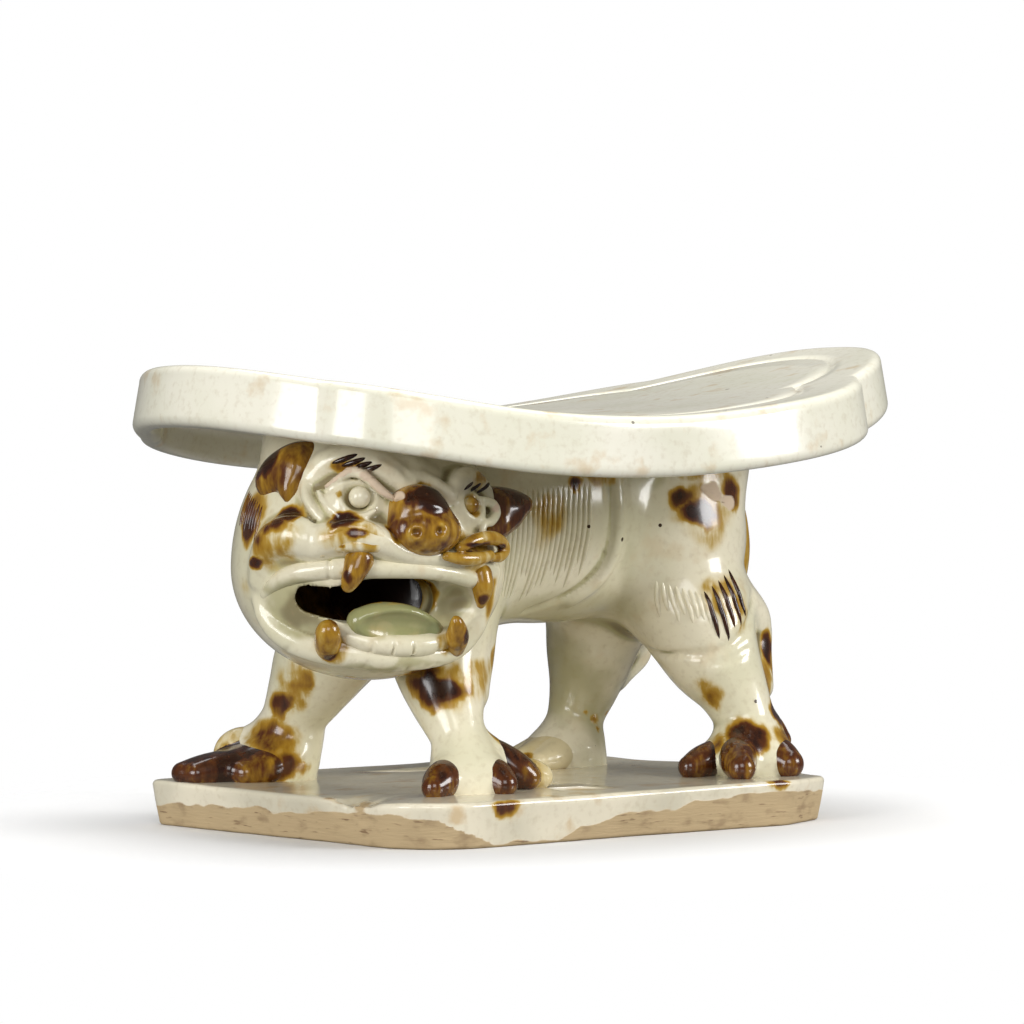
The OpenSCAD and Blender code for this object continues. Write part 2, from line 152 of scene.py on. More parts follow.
@dataclass(frozen=True)
class Ball:
    """Egg of clay, turned about the upright axis; its lower half may be flatter."""

    at: Point
    radii: Point
    turn: float = 0.0
    below: float = 0.0

    def box(self) -> tuple[Array, Array]:
        """Lowest and highest corner.

        Returns:
            The two corners.
        """
        reach = np.array(self.radii)
        if self.turn:
            reach = np.array([max(reach[:2])] * 2 + [reach[2]])
        return np.array(self.at) - reach, np.array(self.at) + reach

    def distance(self, points: Array) -> Array:
        """Distance of each place from the skin, below 0 inside.

        Args:
            points: the places.

        Returns:
            A distance for each place.
        """
        local = points - np.array(self.at)
        if self.turn:
            c, s = math.cos(math.radians(self.turn)), math.sin(math.radians(self.turn))
            local = np.stack([c * local[..., 0] + s * local[..., 1],
                              c * local[..., 1] - s * local[..., 0], local[..., 2]], -1)
        if self.below:
            height = local[..., 2]
            height = np.where(height < 0, height * self.radii[2] / self.below, height)
            local = np.concatenate([local[..., :2], height[..., None]], -1)
        near = np.linalg.norm(local / np.array(self.radii), axis=-1)
        slope = np.linalg.norm(local / np.array(self.radii)**2, axis=-1)
        return near * (near - 1) / np.maximum(slope, 1e-6)


@dataclass(frozen=True)
class Roll:
    """Roll of clay along a smooth line; each station is x, y, z and radius."""

    stations: Stations
    smooth: bool = True

    def line(self) -> Array:
        """Points and radii along the roll."""
        return through(self.stations) if self.smooth else np.array(self.stations, float)

    def box(self) -> tuple[Array, Array]:
        """Lowest and highest corner."""
        line = self.line()
        return (line[:, :3] - line[:, 3:]).min(0), (line[:, :3] + line[:, 3:]).max(0)

    def distance(self, points: Array) -> Array:
        """Distance of each place from the skin, below 0 inside.

        Args:
            points: the places.

        Returns:
            A distance for each place.
        """
        line = self.line()
        best = np.full(points.shape[:-1], np.inf)
        for a, b in zip(line[:-1], line[1:]):
            along = b[:3] - a[:3]
            part = np.clip(((points - a[:3]) @ along) / max(along @ along, 1e-9), 0, 1)
            gap = np.linalg.norm(points - a[:3] - part[..., None] * along, axis=-1)
            best = np.minimum(best, gap - a[3] - part * (b[3] - a[3]))
        return best


def ground(level: float) -> Ball:
    """Everything under a level."""
    return Ball((0, 0, level - GROUND_RADIUS), (GROUND_RADIUS,) * 3)


def smooth_union(a: Array, b: Array, blend: float) -> Array:
    """Join two distances with a fillet of clay as wide as the blend."""
    share = np.maximum(blend - np.abs(a - b), 0) / blend
    return np.minimum(a, b) - share * share * blend / 4


@dataclass
class ClayModel:
    """Clay built up and cut on a grid of distances."""

    low: Point
    high: Point
    grain: float
    distances: Array = field(init=False)

    FAR = 9.0
    MARGIN = 2.0

    def __post_init__(self) -> None:
        """Start with an empty grid."""
        count = np.ceil((np.array(self.high) - np.array(self.low)) / self.grain).astype(int) + 1
        self.distances = np.full(count, self.FAR)

    def _window(self, shape: Shape, margin: float) -> tuple[tuple[slice, ...], Array]:
        """Find the part of the grid that a shape can change.

        Args:
            shape: the shape.
            margin: room to leave round it.

        Returns:
            The slices of the grid, and the places in them.
        """
        low, high = shape.box()
        size = np.array(self.distances.shape)
        first = np.clip(np.floor((low - margin - self.low) / self.grain).astype(int), 0, size - 1)
        last = np.clip(np.ceil((high + margin - self.low) / self.grain).astype(int) + 1, 1, size)
        axes = [self.low[i] + self.grain * np.arange(first[i], last[i]) for i in range(3)]
        grid = np.stack(np.meshgrid(*axes, indexing="ij"), -1)
        return tuple(slice(a, b) for a, b in zip(first, last)), grid

    def add(self, blend: float, *shapes: Shape) -> None:
        """Add shapes, each with a fillet as wide as the blend."""
        self._join(1, blend, shapes)

    def cut(self, blend: float, *shapes: Shape) -> None:
        """Cut shapes away, and round the edges by the blend."""
        self._join(-1, blend, shapes)

    def _join(self, side: int, blend: float, shapes: Sequence[Shape]) -> None:
        """Join shapes to the clay or to the air round it.

        Args:
            side: 1 for the clay, -1 for the air.
            blend: width of the fillet.
            shapes: the shapes, in order.
        """
        for shape in shapes:
            window, grid = self._window(shape, blend + self.MARGIN)
            joined = smooth_union(side * self.distances[window], shape.distance(grid), blend)
            self.distances[window] = side * joined

    def laid(self, *stations: Sequence[float]) -> Roll:
        """Roll laid on the near side of the clay.

        Args:
            stations: rows of x, z, distance off the skin and radius.

        Returns:
            The roll.
        """
        line = []
        for x, z, lift, radius in through(stations, 3):
            i, k = (int(round((v - o) / self.grain)) for v, o in ((x, self.low[0]), (z, self.low[2])))
            column = self.distances[i, :, k]
            j = int(np.argmax(column < 0))
            part = column[j - 1] / (column[j - 1] - column[j]) if j else 0.0
            y = self.low[1] + self.grain * (max(j - 1, 0) + part)
            line.append((x, y - lift, z, radius))
        return Roll(line, smooth=False)

    def skin(self, smoothing: int = 6) -> tuple[Array, Array]:
        """Find the skin of the clay.

        Args:
            smoothing: rounds of smoothing.

        Returns:
            Points, and the rows of four points that make its faces.
        """
        points, quads = surface_net(self.distances, np.array(self.low), self.grain)
        return relaxed(points, quads, smoothing), quads


def clay_round(shape: Shape, margin: float, grain: float) -> ClayModel:
    """Start an empty model with some room round a shape.

    Args:
        shape: the shape.
        margin: the room.
        grain: spacing of the model's grid.

    Returns:
        The model.
    """
    low, high = shape.box()
    return ClayModel(tuple(low - margin), tuple(high + margin), grain)


def surface_net(distances: Array, low: Array, grain: float) -> tuple[Array, Array]:
    """Skin of a grid of distances, with one point in each cell that the skin crosses.

    Args:
        distances: grid of distances, below 0 inside.
        low: place of the first grid point.
        grain: spacing of the grid.

    Returns:
        Points, and rows of four points, anticlockwise from outside.
    """
    solid = distances < 0
    cells = tuple(n - 1 for n in distances.shape)

    def corner(grid: Array, at: Sequence[int]) -> Array:
        """One corner of each cell."""
        return grid[tuple(slice(o, o + n) for o, n in zip(at, cells))]

    filled = sum(corner(solid, at).astype(np.int8) for at in np.ndindex(2, 2, 2))
    mixed = (filled > 0) & (filled < 8)
    where = np.argwhere(mixed)
    index = np.full(cells, -1, np.int64)
    index[mixed] = np.arange(len(where))
    total, hits = np.zeros((len(where), 3)), np.zeros(len(where))
    for axis in range(3):
        for start in np.ndindex(2, 2, 2):
            if start[axis]:
                continue
            end = tuple(v + (i == axis) for i, v in enumerate(start))
            a, b = corner(distances, start)[mixed], corner(distances, end)[mixed]
            crossed = (a < 0) != (b < 0)
            spot = np.tile(np.array(start, float), (int(crossed.sum()), 1))
            spot[:, axis] += a[crossed] / (a[crossed] - b[crossed])
            total[crossed] += spot
            hits[crossed] += 1
    points = low + grain * (where + total / hits[:, None])
    quads = []
    for axis in range(3):
        u, v = (axis + 1) % 3, (axis + 2) % 3
        below, above = [slice(1, -1)] * 3, [slice(1, -1)] * 3
        below[axis], above[axis] = slice(0, -1), slice(1, None)
        inner, outer = solid[tuple(below)], solid[tuple(above)]
        edge = np.argwhere(inner != outer)
        rising = inner[tuple(edge.T)]
        edge[:, u] += 1
        edge[:, v] += 1
        ring = []
        for du, dv in ((1, 1), (0, 1), (0, 0), (1, 0)):
            cell = edge.copy()
            cell[:, u] -= du
            cell[:, v] -= dv
            ring.append(index[tuple(cell.T)])
        ring = np.stack(ring, 1)
        quads.append(np.where(rising[:, None], ring, ring[:, ::-1]))
    return points, np.vstack(quads)


class Neighbours:
    """The points that lie next to each point of a skin."""

    def __init__(self, quads: Array, size: int) -> None:
        """List them.

        Args:
            quads: faces of the skin.
            size: count of its points.
        """
        self.pairs = np.vstack([quads[:, [i, (i + 1) % 4]] for i in range(4)])
        self.size = size
        self.count = np.maximum(np.bincount(self.pairs[:, 0], minlength=size), 1)

    def mean(self, values: Array) -> Array:
        """Mean of the neighbours' values.

        Args:
            values: a row for each point.

        Returns:
            The means, a row for each point.
        """
        here, there = self.pairs.T
        sums = [np.bincount(here, column[there], self.size) for column in values.T]
        return np.stack(sums, 1) / self.count[:, None]


def relaxed(points: Array, quads: Array, rounds: int) -> Array:
    """Smooth a skin without shrinking it.

    Args:
        points: its points.
        quads: its faces.
        rounds: times to push in and out.

    Returns:
        The points in their new places.
    """
    push_in, push_out = 0.55, -0.57
    near = Neighbours(quads, len(points))
    for _ in range(rounds):
        for share in (push_in, push_out):
            points = points + share * (near.mean(points) - points)
    return points


def sunk_below(points: Array, quads: Array) -> Array:
    """How far each point of a skin lies below its wider surroundings.

    Args:
        points: points of the skin.
        quads: its faces.

    Returns:
        A distance for each point, above 0 in hollows and below 0 on ridges.
    """
    wide, fine = 34, 3
    near = Neighbours(quads, len(points))
    flat = points
    for _ in range(wide):
        flat = near.mean(flat)
    a, b, c, d = (points[quads[:, i]] for i in range(4))
    across = np.cross(c - a, d - b)
    normal = np.zeros_like(points)
    for i in range(4):
        np.add.at(normal, quads[:, i], across)
    normal /= np.maximum(np.linalg.norm(normal, axis=1, keepdims=True), 1e-12)
    sunk = ((flat - points) * normal).sum(1, keepdims=True)
    for _ in range(fine):
        sunk = near.mean(sunk)
    return sunk[:, 0]


# Paint


@dataclass(frozen=True)
class Splash:
    """A mark on the clay with the way that it ran down: iron glaze, a bare scar, pooled glaze or painted
    shade.
    """

    at: Point
    reach: Point
    run: float
    strength: float

    SWAY = 0.3
    WIDEST_SWAY = 2.2
    NARROWING = 0.35
    FADE = (1.25, 0.35)

    def amount(self, points: Array, wander: Array) -> Array:
        """How thick the splash lies at each place.

        Args:
            points: the places.
            wander: the way that an edge strays at each of them, about 1 long.

        Returns:
            One amount for each place.
        """
        sway = min(self.SWAY * max(self.reach), self.WIDEST_SWAY)
        away = points + wander * sway - np.array(self.at)
        below = np.maximum(-away[:, 2], 0)
        tall = np.where(away[:, 2] < 0, self.reach[2] + self.run, self.reach[2])
        narrow = 1 - self.NARROWING * np.clip(below / (self.reach[2] + self.run + 0.01), 0, 1)
        gap = np.sqrt((away[:, 0] / (self.reach[0] * narrow))**2
                      + (away[:, 1] / (self.reach[1] * narrow))**2 + (away[:, 2] / tall)**2)
        return self.strength * smooth_step(*self.FADE, gap)


class Coat(Enum):
    """Attributes that the paint writes on a mesh."""

    IRON = "iron"
    # Pooled glaze, and painted shade in creases and where shade falls
    POOL_AND_SHADE = "pool"
    EDGE = "edge"
    BARE = "bare"


@dataclass
class Painter:
    """Splashes, scars, pooled glaze and painted shade, in the part's frame, for any piece that they fall
    on.
    """

    splashes: list[Splash]
    scars: list[Splash]
    pools_and_painted_shade: list[Splash]

    # Distance, size and seed of each layer of the wander of an edge
    WANDER = ((0.9, 9.0, 1), (0.6, 4.0, 4), (0.35, 1.7, 7))
    # Depths below the surroundings over which hollows take the pooled glaze colour: partly real pooling,
    # partly painted shade in creases
    HOLLOW_PAINTED_SHADE_AND_POOLING = (0.05, 0.5)
    RIDGE = (0.05, 0.4)

    def _total(self, marks: Sequence[Splash], points: Array, wander: Array) -> Array:
        """Thickest of some marks at each place."""
        return reduce(np.maximum, (mark.amount(points, wander) for mark in marks), np.zeros(len(points)))

    def paint(self, mesh: bpy.types.Mesh, relief: Array | None = None, iron: float | Array = 0.0,
              bare: Array | None = None) -> None:
        """Write the coats on a mesh.

        Args:
            mesh: the mesh, in metres.
            relief: how far each point lies below its surroundings, if the piece knows it.
            iron: iron glaze that covers the whole piece, or its amount at each point.
            bare: how bare of glaze each point is, if the piece knows it.
        """
        flat = np.empty(len(mesh.vertices) * 3, np.float32)
        mesh.vertices.foreach_get("co", flat)
        points = flat.reshape(-1, 3).astype(float) / MM
        sunk = np.zeros(len(points)) if relief is None else relief
        wander = np.zeros_like(points)
        for far, size, seed in self.WANDER:
            wander += far * np.stack([lattice_noise(points, size, seed + i) for i in range(3)], 1)
        coats = {
            Coat.IRON: np.maximum(self._total(self.splashes, points, wander), iron),
            # Pooled glaze and painted shade: the listed marks, and hollows of the relief darkened as crease
            # shade
            Coat.POOL_AND_SHADE: np.maximum(self._total(self.pools_and_painted_shade, points, wander), smooth_step(*self.HOLLOW_PAINTED_SHADE_AND_POOLING, sunk)),
            Coat.EDGE: smooth_step(*self.RIDGE, -sunk),
            Coat.BARE: np.maximum(self._total(self.scars, points, wander), 0 if bare is None else bare),
        }
        for coat, amount in coats.items():
            layer = mesh.attributes.new(coat.value, "FLOAT", "POINT")
            values = np.broadcast_to(amount, len(points))
            layer.data.foreach_set("value", np.ascontiguousarray(values, np.float32))


# Shader groups


class NodeTree:
    """Small helper that places and links shader or geometry nodes."""

    def __init__(self, tree: bpy.types.NodeTree) -> None:
        """Wrap a tree and empty it."""
        self.tree = tree
        tree.nodes.clear()

    def add(self, kind: str, inputs: dict | None = None, **options: object) -> bpy.types.Node:
        """Place a node.

        Args:
            kind: the node's type.
            inputs: a value, or a socket to link, for each input by name or number.
            options: properties of the node.

        Returns:
            The node.
        """
        node = self.tree.nodes.new(kind)
        for name, value in options.items():
            setattr(node, name, value)
        for key, value in (inputs or {}).items():
            if isinstance(value, bpy.types.NodeSocket):
                self.tree.links.new(value, node.inputs[key])
            else:
                node.inputs[key].default_value = value
        return node

    def math(self, operation: str, *values: object, clamp: bool = False) -> bpy.types.NodeSocket:
        """Sum of two or three values, or another operation on them."""
        inputs = dict(enumerate(values))
        return self.add("ShaderNodeMath", inputs, operation=operation, use_clamp=clamp).outputs[0]

    def mix(self, share: object, a: object, b: object) -> bpy.types.NodeSocket:
        """Mix two colours."""
        return self.add("ShaderNodeMix", {0: share, 6: a, 7: b}, data_type="RGBA").outputs[2]

    def ramp(self, value: object, stops: Sequence[tuple[float, Colour]]) -> bpy.types.NodeSocket:
        """Colour ramp through some stops.

        Args:
            value: place on the ramp.
            stops: a place and a colour each, from low to high.

        Returns:
            The colour.
        """
        node = self.add("ShaderNodeValToRGB", {0: value})
        elements = node.color_ramp.elements
        while len(elements) < len(stops):
            elements.new(0.5)
        for element, (place, colour) in zip(elements, stops):
            element.position = place
            element.color = (*colour, 1)
        return node.outputs[0]

    def range(self, value: object, low: float, high: float,
              to: tuple[float, float] = (0, 1)) -> bpy.types.NodeSocket:
        """Map a range of values to another, with eased ends."""
        node = self.add("ShaderNodeMapRange", {0: value, 1: low, 2: high, 3: to[0], 4: to[1]},
                        interpolation_type="SMOOTHSTEP")
        return node.outputs[0]

    def noise(self, scale: float, detail: float = 3, stretch: Point = (1, 1, 1),
              shift: float = 0) -> bpy.types.NodeSocket:
        """Noise on the piece's own coordinates.

        Args:
            scale: bumps in a metre.
            detail: finer layers.
            stretch: scale along each axis.
            shift: distance that moves the pattern.

        Returns:
            The noise value.
        """
        place = self.add("ShaderNodeTexCoord").outputs["Object"]
        place = self.add("ShaderNodeMapping", {0: place, 1: (shift, shift, shift), 3: stretch}).outputs[0]
        inputs = {"Vector": place, "Scale": scale, "Detail": detail}
        return self.add("ShaderNodeTexNoise", inputs).outputs[0]


class SocketKind(Enum):
    """Kinds of socket that the groups use."""

    COLOUR = "NodeSocketColor"
    VALUE = "NodeSocketFloat"


Group = tuple[bpy.types.NodeTree, NodeTree, bpy.types.NodeOutputs]


def new_group(name: str, inputs: dict[str, SocketKind], outputs: dict[str, SocketKind]) -> Group:
    """Start a shader group.

    Args:
        name: its name.
        inputs: names and kinds of its inputs.
        outputs: names and kinds of its outputs.

    Returns:
        The group, its helper and the sockets that bring its inputs.
    """
    group = bpy.data.node_groups.new(name, "ShaderNodeTree")
    for sockets, way in ((inputs, "INPUT"), (outputs, "OUTPUT")):
        for label, kind in sockets.items():
            group.interface.new_socket(label, in_out=way, socket_type=kind.value)
    helper = NodeTree(group)
    return group, helper, helper.add("NodeGroupInput").outputs


@dataclass(frozen=True)
class IronSplash:
    """Iron glaze that fires from honey where thin to chocolate where thick."""

    honey: Colour = (0.54, 0.37, 0.08)
    amber: Colour = (0.36, 0.19, 0.016)
    chestnut: Colour = (0.095, 0.027, 0.006)
    chocolate: Colour = (0.027, 0.008, 0.004)
    thinning: float = 0.14
    mottle: float = 0.45

    def group(self) -> bpy.types.NodeTree:
        """Build the group once.

        Returns:
            The group.
        """
        group, nodes, given = new_group(
            "Iron Splash", {"Glaze": SocketKind.COLOUR, "Amount": SocketKind.VALUE,
                            "Edge": SocketKind.VALUE, "Streaks": SocketKind.VALUE},
            {"Color": SocketKind.COLOUR})
        streaks = nodes.math("SUBTRACT", nodes.noise(520, 4, (1, 1, 0.22)), 0.5)
        mottle = nodes.math("SUBTRACT", nodes.noise(260, 5, (1, 1, 0.7), 0.4), 0.5)
        ragged = nodes.math("MULTIPLY", streaks, given["Streaks"])
        ragged = nodes.math("ADD", ragged, nodes.math("MULTIPLY", mottle, self.mottle))
        ragged = nodes.math("SUBTRACT", ragged, nodes.math("MULTIPLY", given["Edge"], self.thinning))
        present = nodes.range(given["Amount"], 0.01, 0.35)
        ragged = nodes.math("MULTIPLY", ragged, present)
        amount = nodes.math("ADD", given["Amount"], ragged, clamp=True)
        colour = nodes.ramp(amount, [(0.0, self.honey), (0.15, self.honey), (0.4, self.amber),
                                     (0.66, self.chestnut), (0.9, self.chocolate)])
        cover = nodes.range(amount, 0.03, 0.30)
        nodes.add("NodeGroupOutput", {"Color": nodes.mix(cover, given["Glaze"], colour)})
        return group


@dataclass(frozen=True)
class PooledGlazeAndShade:
    """Clear glaze that greens where it lies thick and tans where it is worn thin; the same olive and umber
    also paint shade in creases and where shade falls.
    """

    # Olive and umber: colours of pooled glaze, and of painted shade
    celadon_and_shade: Colour = (0.40, 0.37, 0.18)
    umber: Colour = (0.15, 0.105, 0.04)
    tan: Colour = (0.60, 0.41, 0.19)
    dust: Colour = (0.42, 0.32, 0.17)
    greenest: float = 0.8
    brownest: float = 0.75
    dustiest: float = 0.2

    def group(self) -> bpy.types.NodeTree:
        """Build the group once.

        Returns:
            The group.
        """
        group, nodes, given = new_group(
            "Pooled Glaze And Shade", {"Glaze": SocketKind.COLOUR, "Green Tint": SocketKind.COLOUR,
                             "Pool And Shade": SocketKind.VALUE, "Stain": SocketKind.VALUE},
            {"Color": SocketKind.COLOUR})
        drift = nodes.range(nodes.noise(38, 3), 0.38, 0.66)
        tinted = nodes.mix(drift, given["Glaze"], given["Green Tint"])
        # Olive where the amount rises: real green pooling, and painted shade where the marks stand for
        # shade
        green = nodes.range(given["Pool And Shade"], 0.0, 0.62, (0, self.greenest))
        pooled = nodes.mix(green, tinted, (*self.celadon_and_shade, 1))
        # Umber where it is highest: partly dark pooled glaze, partly painted shade deep in creases
        brown = nodes.range(given["Pool And Shade"], 0.6, 1.0, (0, self.brownest))
        pooled = nodes.mix(brown, pooled, (*self.umber, 1))
        dirt = nodes.range(nodes.noise(640, 7, shift=0.3), 0.48, 0.75, (0, self.dustiest))
        pooled = nodes.mix(dirt, pooled, (*self.dust, 1))
        blotch = nodes.range(nodes.noise(120, 5, shift=0.7), 0.57, 0.72)
        stained = nodes.mix(nodes.math("MULTIPLY", blotch, given["Stain"]), pooled, (*self.tan, 1))
        nodes.add("NodeGroupOutput", {"Color": stained})
        return group


@dataclass(frozen=True)
class KilnSpecks:
    """Dark specks and pinholes that the kiln leaves in a pale glaze."""

    speck: Colour = (0.05, 0.028, 0.014)
    rarity: float = 0.8
    largest: float = 0.11

    def group(self) -> bpy.types.NodeTree:
        """Build the group once.

        Returns:
            The group.
        """
        group, nodes, given = new_group(
            "Kiln Specks", {"Glaze": SocketKind.COLOUR, "Amount": SocketKind.VALUE},
            {"Color": SocketKind.COLOUR})
        place = nodes.add("ShaderNodeTexCoord").outputs["Object"]
        cells = nodes.add("ShaderNodeTexVoronoi", {"Vector": place, "Scale": 190.0})
        draws = nodes.add("ShaderNodeSeparateColor", {0: cells.outputs["Color"]}).outputs
        rare = nodes.math("GREATER_THAN", draws[0], self.rarity)
        size = nodes.math("MULTIPLY", draws[1], self.largest)
        dot = nodes.math("LESS_THAN", cells.outputs["Distance"], size)
        speck = nodes.math("MULTIPLY", nodes.math("MULTIPLY", dot, rare), given["Amount"])
        nodes.add("NodeGroupOutput", {"Color": nodes.mix(speck, given["Glaze"], (*self.speck, 1))})
        return group


@dataclass(frozen=True)
class BareClay:
    """Fired clay where no glaze covers it, buff with brown wear and fine scratches."""

    buff: Colour = (0.52, 0.39, 0.22)
    rust: Colour = (0.26, 0.17, 0.09)
    pink: Colour = (0.67, 0.53, 0.39)
    wear: float = 0.65

    def group(self) -> bpy.types.NodeTree:
        """Build the group once.

        Returns:
            The group.
        """
        group, nodes, given = new_group(
            "Bare Clay", {"Glaze": SocketKind.COLOUR, "Bare": SocketKind.VALUE, "Pink": SocketKind.VALUE},
            {"Color": SocketKind.COLOUR, "Bare": SocketKind.VALUE, "Grit": SocketKind.VALUE})
        edge = nodes.math("MULTIPLY", nodes.math("SUBTRACT", nodes.noise(260, 4), 0.5), 0.5)
        present = nodes.range(given["Bare"], 0.02, 0.3)
        ragged = nodes.math("ADD", given["Bare"], nodes.math("MULTIPLY", edge, present))
        bare = nodes.range(ragged, 0.3, 0.62)
        clay = nodes.mix(given["Pink"], (*self.buff, 1), (*self.pink, 1))
        worn = nodes.range(nodes.noise(150, 6, (1, 1, 2.2), 0.2), 0.5, 0.72)
        clay = nodes.mix(nodes.math("MULTIPLY", worn, self.wear), clay, (*self.rust, 1))
        scratches = nodes.noise(800, 4, (0.25, 0.25, 1.8), 0.9)
        clay = nodes.mix(nodes.range(scratches, 0.62, 0.72), clay, (*self.rust, 1))
        colour = nodes.mix(bare, given["Glaze"], clay)
        nodes.add("NodeGroupOutput", {"Color": colour, "Bare": bare, "Grit": scratches})
        return group


@dataclass
class GlazeGroups:
    """The shader groups that the finishes share."""

    pooled: bpy.types.NodeTree = field(default_factory=lambda: PooledGlazeAndShade().group())
    specks: bpy.types.NodeTree = field(default_factory=lambda: KilnSpecks().group())
    iron: bpy.types.NodeTree = field(default_factory=lambda: IronSplash().group())
    clay: bpy.types.NodeTree = field(default_factory=lambda: BareClay().group())


@dataclass(frozen=True)
class GlazeFinish:
    """A fired glaze over pale clay."""

    name: str
    slot: str
    glaze: Colour
    green_tint: Colour
    stain: float = 0.25
    specks: float = 1.0
    streaks: float = 0.6
    pink: float = 1.0
    roughness: float = 0.19
    coat: float = 0.25
    ripple: float = 0.12

    DULLING = 0.6
    GRIT = 0.6
    # Iron amounts above this come from the painted shade in the hollow of the head, and from one thick
    # speck on the base
    PAINTED_SHADE_FROM = 1.15
    PAINTED_SHADE_GAIN = 2.5
    COAT_ROUGHNESS = 0.06
    SPECULAR = 0.42

    def material(self, groups: GlazeGroups) -> bpy.types.Material:
        """Build the material.

        Args:
            groups: the shared shader groups.

        Returns:
            The material.
        """
        made = bpy.data.materials.new(self.name)
        made.use_nodes = True
        nodes = NodeTree(made.node_tree)
        coats = {coat: nodes.add("ShaderNodeAttribute", attribute_name=coat.value).outputs["Fac"]
                 for coat in Coat}
        pooled = nodes.add("ShaderNodeGroup", {
            "Glaze": (*self.glaze, 1), "Green Tint": (*self.green_tint, 1),
            "Pool And Shade": coats[Coat.POOL_AND_SHADE], "Stain": self.stain}, node_tree=groups.pooled)
        specks = nodes.add("ShaderNodeGroup", {
            "Glaze": pooled.outputs["Color"], "Amount": self.specks}, node_tree=groups.specks)
        iron = nodes.add("ShaderNodeGroup", {
            "Glaze": specks.outputs["Color"], "Amount": coats[Coat.IRON],
            "Edge": coats[Coat.EDGE], "Streaks": self.streaks}, node_tree=groups.iron)
        clay = nodes.add("ShaderNodeGroup", {
            "Glaze": iron.outputs["Color"], "Bare": coats[Coat.BARE], "Pink": self.pink},
            node_tree=groups.clay)
        bare = clay.outputs["Bare"]
        # Painted shade in the hollow of the head, and the thick speck on the base, turn matte
        painted_shade_matte = nodes.math("SUBTRACT", coats[Coat.IRON], self.PAINTED_SHADE_FROM)
        painted_shade_matte = nodes.math("MULTIPLY", painted_shade_matte, self.PAINTED_SHADE_GAIN, clamp=True)
        dull = nodes.math("MAXIMUM", bare, painted_shade_matte)
        rough = nodes.math("ADD", nodes.math("MULTIPLY", dull, self.DULLING), self.roughness)
        coat = nodes.math("SUBTRACT", self.coat, nodes.math("MULTIPLY", dull, self.coat))
        ripple = nodes.math("MULTIPLY", nodes.noise(220, 2), self.ripple)
        grit = nodes.math("MULTIPLY", nodes.math("MULTIPLY", clay.outputs["Grit"], bare), self.GRIT)
        height = nodes.math("ADD", ripple, grit)
        bump = nodes.add("ShaderNodeBump", {"Height": height, "Strength": 0.35, "Distance": 0.0008})
        shader = nodes.add("ShaderNodeBsdfPrincipled", {
            "Base Color": clay.outputs["Color"], "Roughness": rough, "Normal": bump.outputs[0],
            "Coat Weight": coat, "Coat Roughness": self.COAT_ROUGHNESS,
            "Specular IOR Level": self.SPECULAR})
        nodes.add("ShaderNodeOutputMaterial", {0: shader.outputs[0]})
        return made


class Finish(Enum):
    """The finishes of the pillow's pieces."""

    HEADREST = GlazeFinish("Ivory glaze of the headrest", "white_glaze", (0.86, 0.83, 0.70),
                           (0.80, 0.78, 0.63), stain=0.45, specks=0.7)
    # The lion's copy of the ivory glaze is yellower than the headrest's: partly the glaze's own tone,
    # partly painted shade for the warm shade under the headrest
    LION = GlazeFinish("Ivory glaze of the lion with painted shade tint", "white_glaze", (0.85, 0.785, 0.60), (0.75, 0.71, 0.51))
    IRON = GlazeFinish("Iron glaze", "iron_glaze", (0.76, 0.66, 0.42), (0.68, 0.60, 0.36),
                       stain=0.1, streaks=0.8, specks=0.4)
    CELADON = GlazeFinish("Green pooled glaze", "green_glaze", (0.27, 0.28, 0.115), (0.15, 0.19, 0.085),
                          stain=0.3)
    BASE = GlazeFinish("Glazed base", "base_clay", (0.84, 0.77, 0.60), (0.66, 0.61, 0.47),
                       stain=0.65, pink=0.0)


# Pieces


def placed(name: str, data: bpy.types.ID) -> bpy.types.Object:
    """Put a new object in the scene.

    Args:
        name: its name.
        data: its mesh, lamp or camera.

    Returns:
        The object.
    """
    made = bpy.data.objects.new(name, data)
    bpy.context.scene.collection.objects.link(made)
    return made


